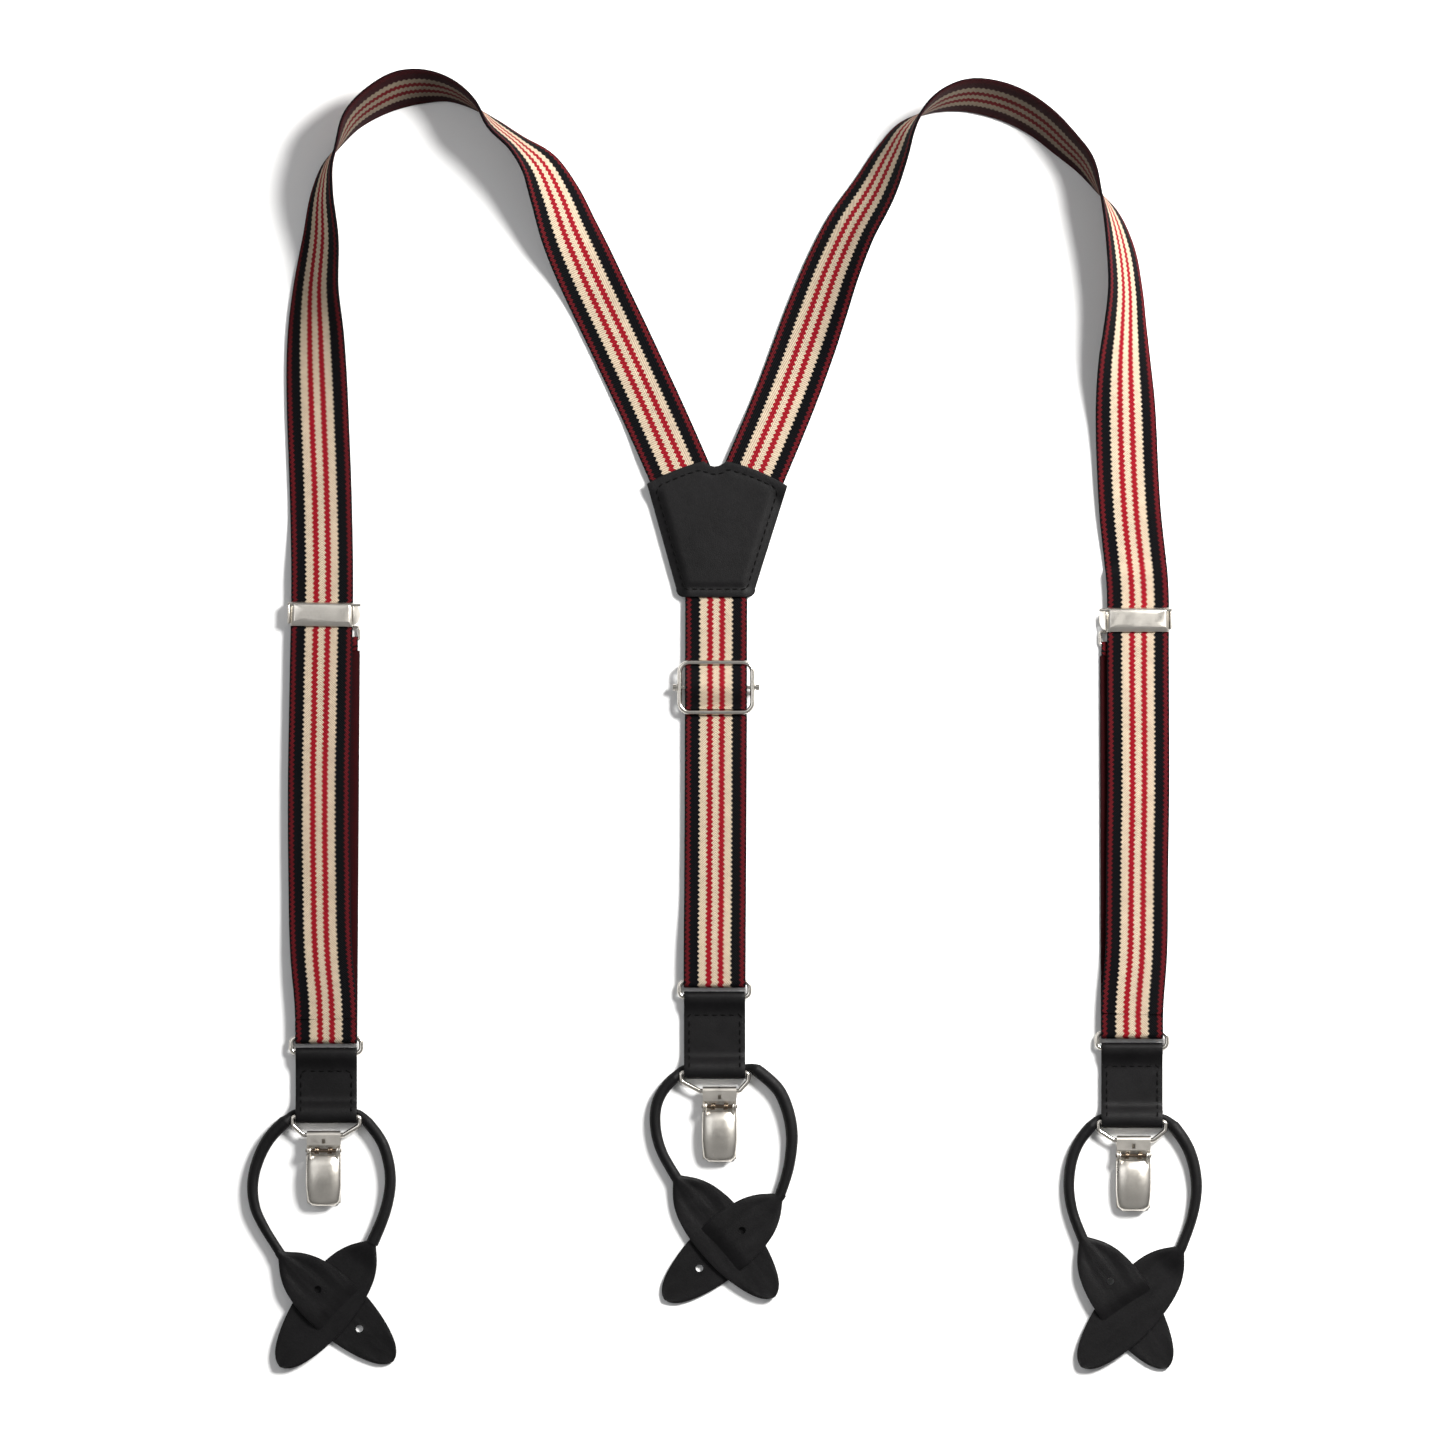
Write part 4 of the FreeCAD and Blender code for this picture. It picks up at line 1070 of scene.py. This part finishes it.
class BRACES_OT_end_tabs(bpy.types.Operator):
    """Fold and sew the leather tab at each end"""
    bl_idname = "braces.end_tabs"
    bl_label = "End Tabs"
    bl_options = {"REGISTER", "UNDO"}

    def execute(self, context):
        for side in ENDS:
            (x, y), length, _ = END_PLACES[side]
            place = placed(x, y)
            line = tab_line(length)
            fine = []
            for i, p in enumerate(line):
                q = line[(i + 1) % len(line)]
                a, b = line[i - 1], line[(i + 2) % len(line)]
                steps = max(1, round(math.dist(p, q) / 1.2))
                for k in range(steps):
                    s = k / steps
                    fine.append([0.5 * (2 * p[c] + (q[c] - a[c]) * s
                                        + (2 * a[c] - 5 * p[c] + 4 * q[c] - b[c]) * s * s
                                        + (3 * p[c] - a[c] - 3 * q[c] + b[c]) * s**3)
                                 for c in (0, 1)])
            stations, along = [], 0.0
            for i, (v, w) in enumerate(fine):
                before, after = fine[i - 1], fine[(i + 1) % len(fine)]
                way = Vector((0, after[0] - before[0], after[1] - before[1])).normalized()
                wide = Vector((1, 0, 0))
                along += math.dist(before, (v, w)) * MM
                stations.append((place(0, v, w), wide, way.cross(wide), along))
            h, t = TAB_HALF * MM, 0.59 * MM
            edge = 0.25 * MM
            top = [(-h + edge + (2 * h - 2 * edge) * i / 12, t) for i in range(13)]
            right = [(h - 0.3 * edge, t - 0.3 * edge), (h, t - edge), (h, -t + edge),
                     (h - 0.3 * edge, -t + 0.3 * edge)]
            profile = top + right + [(a, -o) for a, o in reversed(top)]
            profile += [(-a, -o) for a, o in right]
            tab = swept("leather_tab_" + side, stations, [profile] * len(stations),
                        [finish("smooth_leather")], closed=True)
            mount_piece(tab, "tab_" + side, "leather", "end_tab_" + side)
            low, half, high = -RING_BARS - length, TAB_SEAM_HALF, TAB_SEAM_TOP
            front = [(-half, low + 5.8, 5.55), (-half, low + 7.4, 4.25), (-half, low + 9.0, 3.05),
                     (-half, low + 11.0, 2.6), (-half, high, 2.56)]
            front += [(-half + 2 * half * i / 6, high, 2.56) for i in range(1, 7)]
            front += [(-u, v, w) for u, v, w in reversed(front[:4])]
            points = [place(*p) for p in front]
            mount_piece(seam("tab_stitches_" + side, points), "tab_" + side, "leather")
        return {"FINISHED"}


class BRACES_OT_button_loops(bpy.types.Operator):
    """Roll the leather arms of the three button loops"""
    bl_idname = "braces.button_loops"
    bl_label = "Button Loops"
    bl_options = {"REGISTER", "UNDO"}

    def execute(self, context):
        for name, route in ARM_ROUTES.items():
            curve = bpy.data.curves.new("rolled_arm_" + name, "CURVE")
            curve.dimensions = "3D"
            curve.bevel_depth = ARM_R * MM
            curve.bevel_resolution = 6
            curve.resolution_u = 14
            curve.use_fill_caps = True
            spline = curve.splines.new("NURBS")
            spline.points.add(len(route) - 1)
            for point, (x, y, z, share) in zip(spline.points, route):
                point.co = (x, y, z, 1.0)
                point.radius = share
            spline.order_u = 3
            spline.use_endpoint_u = True
            curve.materials.append(finish("smooth_leather"))
            arm = shown("rolled_arm_" + name, curve)
            end = name.split("_")[0]
            mount_piece(arm, "loop_" + end, "leather", "loop_arm_" + name)
            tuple(route[0][:3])
        for side in ENDS:
            mount_piece(loop_middle(side), "loop_" + side, "leather", "loop_core_" + side)
        return {"FINISHED"}


def loop_middle(side):
    """The thin rolled middle of a button loop, which thickens into its arms beside the tab."""
    (x, y), length, _ = END_PLACES[side]
    core_y = y - RING_BARS - length + CORE_RISE
    rows = []
    for hand, name in ((-1, "_left"), (1, "_right")):
        start, after = (Vector(p[:3]) for p in ARM_ROUTES[side + name][:2])
        onward = (after - start).normalized()
        inside = start + onward * 0.0012
        edge = sheet_point(x + hand * 11.6, core_y, CORD_Z)
        half = [(sheet_point(x + hand * u, core_y, CORD_Z), CORE_R) for u in (0.5, 6.0)]
        half.append((edge, 1.2))
        outward = Vector((hand, 0, 0))
        for t, r in ((0.25, 1.4), (0.45, 1.65), (0.62, 1.85), (0.8, 2.1)):
            at = bend(edge, start, outward * 0.004, onward * 0.004, t)
            half.append((at - Vector((0, 0, 0.0004 * math.sin(math.pi * t))), r))
        share = ARM_ROUTES[side + name][0][3]
        half.append((start.lerp(inside, 0.2), ARM_R * share))
        half.append((inside, 2.2 * share))
        rows = list(reversed(half)) + rows if hand < 0 else rows + half
    stations, profiles = [], []
    for i, (p, r) in enumerate(rows):
        way = (rows[min(i + 1, len(rows) - 1)][0] - rows[max(i - 1, 0)][0]).normalized()
        wide = way.cross(Vector((0, 0, 1))).normalized()
        stations.append((p, wide, wide.cross(way), 0.0))
        profiles.append([(r * MM * math.cos(a), r * MM * math.sin(a))
                         for a in [math.tau * k / 20 for k in range(20)]])
    middle = swept("loop_middle_" + side, stations, profiles, [finish("smooth_leather")])
    soft = middle.modifiers.new("soft", "SUBSURF")
    soft.levels = soft.render_levels = 1
    return applied(middle)


def leaf_piece(name):
    """One leather leaf, rolled at its neck and flat lower down, with soft creases fanning out."""
    (x0, y0), (x1, y1), dives, holes = LEAVES[name]
    way = Vector((x1 - x0, y1 - y0, 0)).normalized()
    side = Vector((0, 0, 1)).cross(way)
    widths = smooth_rows([(s, 0.0, half) for s, half in LEAF_HALF_WIDTHS], 1.2)
    stations, profiles = [], []
    columns = 16
    rows = [(-2.4, 1.5), (-1.2, 1.85)] + [(r.x, max(r.z, 0.3)) for r in widths]
    for s, half in rows:
        z = 2.05
        if dives:
            z = CORD_Z + 1.1 * ease(s / 12) - 2.8 * ease((s - DIVE_FROM) / 11)
        else:
            z += 0.35 * (1 - ease(s / 10))
        rolled = 1 - ease(s / 11)
        thick = LEAF_THICK + 2.0 * rolled
        z = max(z, thick / 2 + 0.03)
        top, under = [], []
        for i in range(columns + 1):
            a = -1 + 2 * i / columns
            crest = rolled * 0.9 * (1 - a * a) - rolled * 0.5
            fan = 0.34 * math.exp(-((abs(a) - 0.42) / 0.13) ** 2)
            fan *= ease(s / 8) * (1 - ease((s - 12) / 16))
            cup = 0.22 * a * a * ease(s / 12)
            edge = thick / 2 * (1 - 0.35 * max(0.0, (abs(a) - 0.93) / 0.07))
            top.append((half * a, edge + crest + cup - fan))
            under.append((half * a, -edge + 0.3 * cup))
        profile = top + [(half * 1.01, 0.12), (half * 1.01, -0.12)] + list(reversed(under))
        profile += [(-half * 1.01, -0.12), (-half * 1.01, 0.12)]
        profiles.append([(a * MM, o * MM) for a, o in profile])
        middle = sheet_point(x0 + way.x * s, y0 + way.y * s, z)
        stations.append((middle, side, Vector((0, 0, 1)), s * MM))
    leaf = swept("leather_leaf_" + name, stations, profiles, [finish("creased_leather")])
    for s in holes:
        centre = sheet_point(x0 + way.x * s, y0 + way.y * s, 2.0)
        punch = round_punch(centre)
        cut = leaf.modifiers.new("button_hole", "BOOLEAN")
        cut.operation = "DIFFERENCE"
        cut.solver = "EXACT"
        cut.object = punch
        applied(leaf)
        bpy.data.objects.remove(punch)
    return leaf


def round_punch(centre):
    bm = bmesh.new()
    bmesh.ops.create_cone(bm, cap_ends=True, segments=32, radius1=HOLE_R * MM, radius2=HOLE_R * MM,
                          depth=0.012, matrix=Matrix.Translation(centre))
    mesh = bpy.data.meshes.new("punch")
    bm.to_mesh(mesh)
    bm.free()
    mesh.uv_layers.new(name="UVMap")
    punch = shown("punch", mesh)
    punch.hide_render = True
    return punch


class BRACES_OT_leaves(bpy.types.Operator):
    """Cut the crossed leather leaves with their buttonholes"""
    bl_idname = "braces.leaves"
    bl_label = "Crossed Leaves"
    bl_options = {"REGISTER", "UNDO"}

    def execute(self, context):
        for name in LEAVES:
            leaf = leaf_piece(name)
            mount_piece(leaf, "loop_" + name.split("_")[0], "leather", "leaf_" + name)
        return {"FINISHED"}


# --- metal ---------------------------------------------------------------------------------------

def jaw_cover(name, place, materials):
    """The bowed cover that is pinched to open the clip, with its lip."""
    spine = smooth_rows(((-8.3, 5.5, 0), (-9.4, 6.15, 0), (-11.0, 6.75, 0), (-13.5, 7.1, 0),
                         (-17.0, 7.2, 0), (-21.0, 6.85, 0), (-24.5, 6.2, 0), (-26.8, 5.5, 0),
                         (-28.0, 4.7, 0), (-28.45, 3.7, 0), (-28.5, 2.5, 0)), 0.7)
    shape = ((0.0, 0.0), (0.22, -0.02), (0.42, -0.1), (0.56, -0.3), (0.7, -0.62), (0.84, -1.08),
             (0.94, -1.6), (1.0, -2.3))
    across = [(-a, d) for a, d in reversed(shape[1:])] + list(shape)
    verts, faces = [], []
    for row in spine:
        y, z = row.x, row.y
        half = 6.95 + 0.1 * math.sin((-8.3 - y) / 20 * math.pi)
        half -= 0.55 * ease((-20 - y) / 8)
        corner = ease((-26.0 - y) / 2.5)
        half -= 1.7 * corner * corner
        depth = min(1.0, max(0.12, (z - 2.3) / 3.4))
        for a, d in across:
            verts.append(place(a * half, y, z + d * depth))
    n = len(across)
    for i in range(len(spine) - 1):
        for j in range(n - 1):
            faces.append((i * n + j, i * n + j + 1, (i + 1) * n + j + 1, (i + 1) * n + j))
    cover = new_piece(name, verts, faces, materials)
    if sum(p.normal.z * p.area for p in cover.data.polygons) < 0:
        cover.data.flip_normals()
    wall = cover.modifiers.new("sheet", "SOLIDIFY")
    wall.thickness = 0.0006
    wall.offset = -1
    applied(cover)
    return eased_edges(cover, 0.00016)


class BRACES_OT_clips(bpy.types.Operator):
    """Press the clips' jaws and wind their springs"""
    bl_idname = "braces.clips"
    bl_label = "Clips"
    bl_options = {"REGISTER", "UNDO"}

    def execute(self, context):
        metal = [finish("brushed_nickel")]
        for side in ENDS:
            (x, y), length, set_x = END_PLACES[side]
            clip_y = y - RING_BARS - length + LEATHER + CLIP_WIRE_R + 0.35 - CLIP_WIRE_DROP
            place = placed(x + set_x, clip_y)
            parts = [jaw_cover("jaw_cover", place, metal)]
            for hand in (-1, 1):
                x0, x1 = sorted((hand * 5.9, hand * 5.1))
                parts.append(barrel("jaw_eye", *CLIP_PIN, x0, x1, 1.5, place, metal))
                parts.append(block("jaw_arm", (x0, -9.6, 4.5), (x1, -6.4, 5.8), place, metal))
            jaw = joined("clip_cover_" + side, parts)
            mount_piece(jaw, "jaw_" + side, "nickel_plate", "clip_jaw_" + side)
            coils = []
            # the coils take nickel darkened and browned: painted shade of the hinge's gap
            for start in (-3.5, 1.7):
                values = {"Middle": tuple(place(start, *CLIP_PIN)),
                          "Metal": finish("hinge_nickel_painted_shade")}
                coils.append(grown("coil", spring_tree(), values))
            spring = joined("clip_coils_" + side, coils)
            mount_piece(spring, "clip_" + side, "nickel_plate", "clip_spring_" + side)
        return {"FINISHED"}


def lever_plate(name, place, materials):
    """The adjuster's bevelled front plate."""
    z0 = 3.7
    rings = ((12.5, -4.95, 4.75, z0 + 0.5), (12.5, -4.95, 4.75, z0 + 0.85),
             (12.35, -4.85, 4.68, z0 + 1.05), (11.2, -3.2, 3.75, z0 + 2.0),
             (10.9, -2.95, 3.5, z0 + 2.12), (7.0, -1.6, 2.0, z0 + 2.16))
    verts = []
    for half, low, high, z in rings:
        verts += [place(-half, low, z), place(half, low, z), place(half, high, z),
                  place(-half, high, z)]
    faces = tube_faces(len(rings), 4)
    faces.append((0, 3, 2, 1))
    last = (len(rings) - 1) * 4
    faces.append((last, last + 1, last + 2, last + 3))
    plate = new_piece(name, verts, faces, materials, smooth=False)
    return eased_edges(plate, 0.00022, 3)


def ear_plate(name, place, materials):
    """The half-round ear beside the plate that holds the lever's pin, leaning outwards."""
    rim = [(12.75, 4.2)] + [(12.75 + 2.75 * math.sin(a), 4.2 * math.cos(a))
                            for a in [math.pi * i / 16 for i in range(1, 16)]] + [(12.75, -4.2)]
    verts, faces = [], []
    for offset in (0.0, -0.7):
        for u, v in rim:
            drop = (u - 12.75) / 2.75
            verts.append(place(u, v, 5.3 - 2.9 * drop + offset))
    n = len(rim)
    faces.append(tuple(range(n)))
    faces.append(tuple(range(2 * n - 1, n - 1, -1)))
    for i in range(n):
        j = (i + 1) % n
        faces.append((i, j, n + j, n + i))
    return eased_edges(new_piece(name, verts, faces, materials, smooth=False), 0.0001)


class BRACES_OT_adjusters(bpy.types.Operator):
    """Press the adjusters' front plates and bases"""
    bl_idname = "braces.adjusters"
    bl_label = "Adjusters"
    bl_options = {"REGISTER", "UNDO"}

    def execute(self, context):
        metal = [finish("brushed_nickel")]
        for side, ((x, y), lean) in ADJUSTERS.items():
            place = placed(x, y, lean, side)
            plate = lever_plate("adjuster_plate_" + side, place, metal)
            mount_piece(plate, "lever_" + side, "nickel_plate", "adjuster_lever_" + side)
            parts = [
                block("base", (-13.7, -4.0, 0.75), (13.2, 4.0, 1.65), place, metal),
                block("outer_wall", (-13.7, -3.9, 0.8), (-12.9, 4.6, 5.4), place, metal, 0.25),
                block("ear_foot", (13.0, -1.7, 0.75), (15.2, 1.7, 1.5), place, metal, 0.25),
                block("ear_root", (14.5, -1.7, 0.8), (15.2, 1.7, 2.9), place, metal, 0.25),
                ear_plate("ear", place, metal),
                barrel("hook", -4.9, 1.15, -6.0, 8.0, 1.1, place, metal),
            ]
            base = joined("adjuster_frame_" + side, parts)
            mount_piece(base, "adjuster_" + side, "nickel_plate", "adjuster_base_" + side)
        return {"FINISHED"}


class BRACES_OT_metal_finish(bpy.types.Operator):
    """Plate the wire and sheet fittings and colour the grip pads"""
    bl_idname = "braces.metal_finish"
    bl_label = "Fittings' Finishes"
    bl_options = {"REGISTER", "UNDO"}

    def execute(self, context):
        # the clip pins take the same nickel darkened and browned as painted shade of the hinge's
        # gap
        finishes = {"ring_": "bright_nickel", "clip_wire_": "bright_nickel",
                    "slide_": "bright_nickel", "adjuster_loop_": "bright_nickel",
                    "adjuster_pin_": "bright_nickel", "clip_pin_": "hinge_nickel_painted_shade",
                    "clip_body_": "brushed_nickel", "clip_pad_": "grip_rubber"}
        for node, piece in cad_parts.items():
            for start, name in finishes.items():
                if node.startswith(start):
                    piece.data.materials.clear()
                    piece.data.materials.append(finish(name))
        return {"FINISHED"}


# --- stage ---------------------------------------------------------------------------------------

def area_light(name, at, size, power, colour):
    """A soft round lamp that faces the frame's origin."""
    light = bpy.data.lights.new(name, "AREA")
    light.shape = "DISK"
    light.size = size
    light.energy = power
    light.color = colour
    lamp = shown(name, light)
    lamp.location = at
    lamp.rotation_euler = (-Vector(at)).to_track_quat("-Z", "Y").to_euler()


class BRACES_OT_stage(bpy.types.Operator):
    """Lay the pale floor, set the soft lights and the camera"""
    bl_idname = "braces.stage"
    bl_label = "Stage"
    bl_options = {"REGISTER", "UNDO"}

    def execute(self, context):
        settings = context.scene.braces_stage
        reach = 4.0
        corners = [(-reach, -reach, -0.0002), (reach, -reach, -0.0002), (reach, reach, -0.0002),
                   (-reach, reach, -0.0002)]
        floor = new_piece("floor", corners, [(0, 1, 2, 3)], [pale_floor("pale_floor", settings)])
        if floor.data.polygons[0].normal.z < 0:
            floor.data.flip_normals()
        world = bpy.data.worlds.new("soft_room")
        world.use_nodes = True
        nodes, links = world.node_tree.nodes, world.node_tree.links
        coords = nodes.new("ShaderNodeTexCoord")
        split = nodes.new("ShaderNodeSeparateXYZ")
        shades = nodes.new("ShaderNodeValToRGB")
        stops = ((0.0, 0.2), (0.25, 0.4), (0.6, 1.0), (0.86, 0.95), (0.97, 0.45))
        while len(shades.color_ramp.elements) < len(stops):
            shades.color_ramp.elements.new(1.0)
        for element, (place, level) in zip(shades.color_ramp.elements, stops):
            element.position = place
            element.color = (level, level, level, 1.0)
        links.new(coords.outputs["Generated"], split.inputs[0])
        links.new(split.outputs["Z"], shades.inputs[0])
        links.new(shades.outputs[0], nodes["Background"].inputs[0])
        nodes["Background"].inputs[1].default_value = settings.room_light
        context.scene.world = world
        context.scene.view_settings.view_transform = "Standard"
        area_light("key_light", (0.75, 0.55, 0.85), 0.5, settings.key_power,
                   (1.0, 0.99, 0.97))
        area_light("fill_light", (-0.9, 0.4, 1.5), 1.4, settings.key_power * 0.14,
                   (0.97, 0.98, 1.0))
        camera = bpy.data.cameras.new("camera")
        camera.sensor_width = 36.0
        camera.lens = settings.lens
        camera.clip_end = 20.0
        eye = shown("camera", camera)
        eye.location = (-0.0030, -0.0011, 6.0)
        context.scene.camera = eye
        return {"FINISHED"}


# --- settings and panel --------------------------------------------------------------------------

def colour_prop(name, description, default):
    return FloatVectorProperty(name=name, description=description, default=default, size=3,
                               min=0.0, max=1.0, subtype="COLOR")


class BracesWebbing(bpy.types.PropertyGroup):
    """The webbing's sizes and colours"""
    width: FloatProperty(name="Width", description="Width of the webbing", default=0.025,
                         min=0.01, max=0.06, subtype="DISTANCE", unit="LENGTH")
    twill_repeat: FloatProperty(name="Twill Repeat",
                                description="Length of one zigzag of the weave",
                                default=0.0019, min=0.0005, max=0.01,
                                subtype="DISTANCE", unit="LENGTH")
    cream: colour_prop("Cream", "Colour of the pale stripes", (0.44, 0.355, 0.26))
    red: colour_prop("Red", "Colour of the two thin red stripes", (0.22, 0.006, 0.012))
    maroon: colour_prop("Maroon", "Colour of the edge stripes", (0.08, 0.0055, 0.008))
    black: colour_prop("Black", "Colour of the dark stripes", (0.0018, 0.0019, 0.0026))


class BracesLeather(bpy.types.PropertyGroup):
    """The leather's finish and sewing"""
    colour: colour_prop("Leather", "Colour of the leather", (0.0028, 0.0026, 0.0029))
    roughness: FloatProperty(name="Roughness", description="How matt the leather is", default=0.52,
                             min=0.1, max=1.0, subtype="FACTOR")
    stitch_pitch: FloatProperty(name="Stitch Pitch", description="From one stitch to the next",
                                default=0.0033, min=0.001, max=0.01, subtype="DISTANCE",
                                unit="LENGTH")
    thread_width: FloatProperty(name="Thread Width", description="Thickness of the sewing thread",
                                default=0.00065, min=0.0002, max=0.002, subtype="DISTANCE",
                                unit="LENGTH")


class BracesMetal(bpy.types.PropertyGroup):
    """The fittings' plating"""
    colour: colour_prop("Nickel", "Colour of the nickel plate", (0.76, 0.72, 0.655))
    bright_roughness: FloatProperty(name="Bright Roughness", description="Roughness of the wire",
                                    default=0.16, min=0.0, max=1.0, subtype="FACTOR")
    brushed_roughness: FloatProperty(name="Brushed Roughness",
                                     description="Roughness of the pressed sheet", default=0.27,
                                     min=0.0, max=1.0, subtype="FACTOR")


class BracesStage(bpy.types.PropertyGroup):
    """The floor, lights and camera"""
    floor_colour: colour_prop("Floor", "Colour of the floor", (0.86, 0.86, 0.86))
    room_light: FloatProperty(name="Room Light", description="Strength of the even light",
                              default=0.33, min=0.0, max=5.0)
    key_power: FloatProperty(name="Key Power", description="Power of the main lamp", default=46.0,
                             min=0.0, max=500.0, unit="POWER")
    lens: FloatProperty(name="Lens", description="Focal length of the camera in millimetres",
                        default=370.8, min=20.0, max=600.0)


OPERATORS = (BRACES_OT_button_loops, BRACES_OT_stage, BRACES_OT_front_straps, BRACES_OT_back_strap,
             BRACES_OT_returns, BRACES_OT_patches, BRACES_OT_end_tabs, BRACES_OT_leaves,
             BRACES_OT_clips, BRACES_OT_adjusters, BRACES_OT_metal_finish)


class BRACES_PT_panel(bpy.types.Panel):
    """Lists the braces' settings and building steps"""
    bl_idname = "BRACES_PT_panel"
    bl_label = "Braces"
    bl_space_type = "VIEW_3D"
    bl_region_type = "UI"
    bl_category = "Braces"

    def draw(self, context):
        for name in GROUPS:
            settings = getattr(context.scene, name)
            box = self.layout.box()
            for key in settings.__annotations__:
                box.prop(settings, key)
        for operator in OPERATORS:
            self.layout.operator(operator.bl_idname)


GROUPS = {"braces_webbing": BracesWebbing, "braces_leather": BracesLeather,
          "braces_metal": BracesMetal, "braces_stage": BracesStage}


def register():
    for name, group in GROUPS.items():
        bpy.utils.register_class(group)
        setattr(bpy.types.Scene, name, PointerProperty(type=group))
    for operator in OPERATORS:
        bpy.utils.register_class(operator)
    bpy.utils.register_class(BRACES_PT_panel)


def unregister():
    bpy.utils.unregister_class(BRACES_PT_panel)
    for operator in reversed(OPERATORS):
        bpy.utils.unregister_class(operator)
    for name, group in GROUPS.items():
        delattr(bpy.types.Scene, name)
        bpy.utils.unregister_class(group)


def main():
    register()
    for operator in OPERATORS:
        group, action = operator.bl_idname.split(".")
        getattr(getattr(bpy.ops, group), action)()


if __name__ == "__main__":
    main()
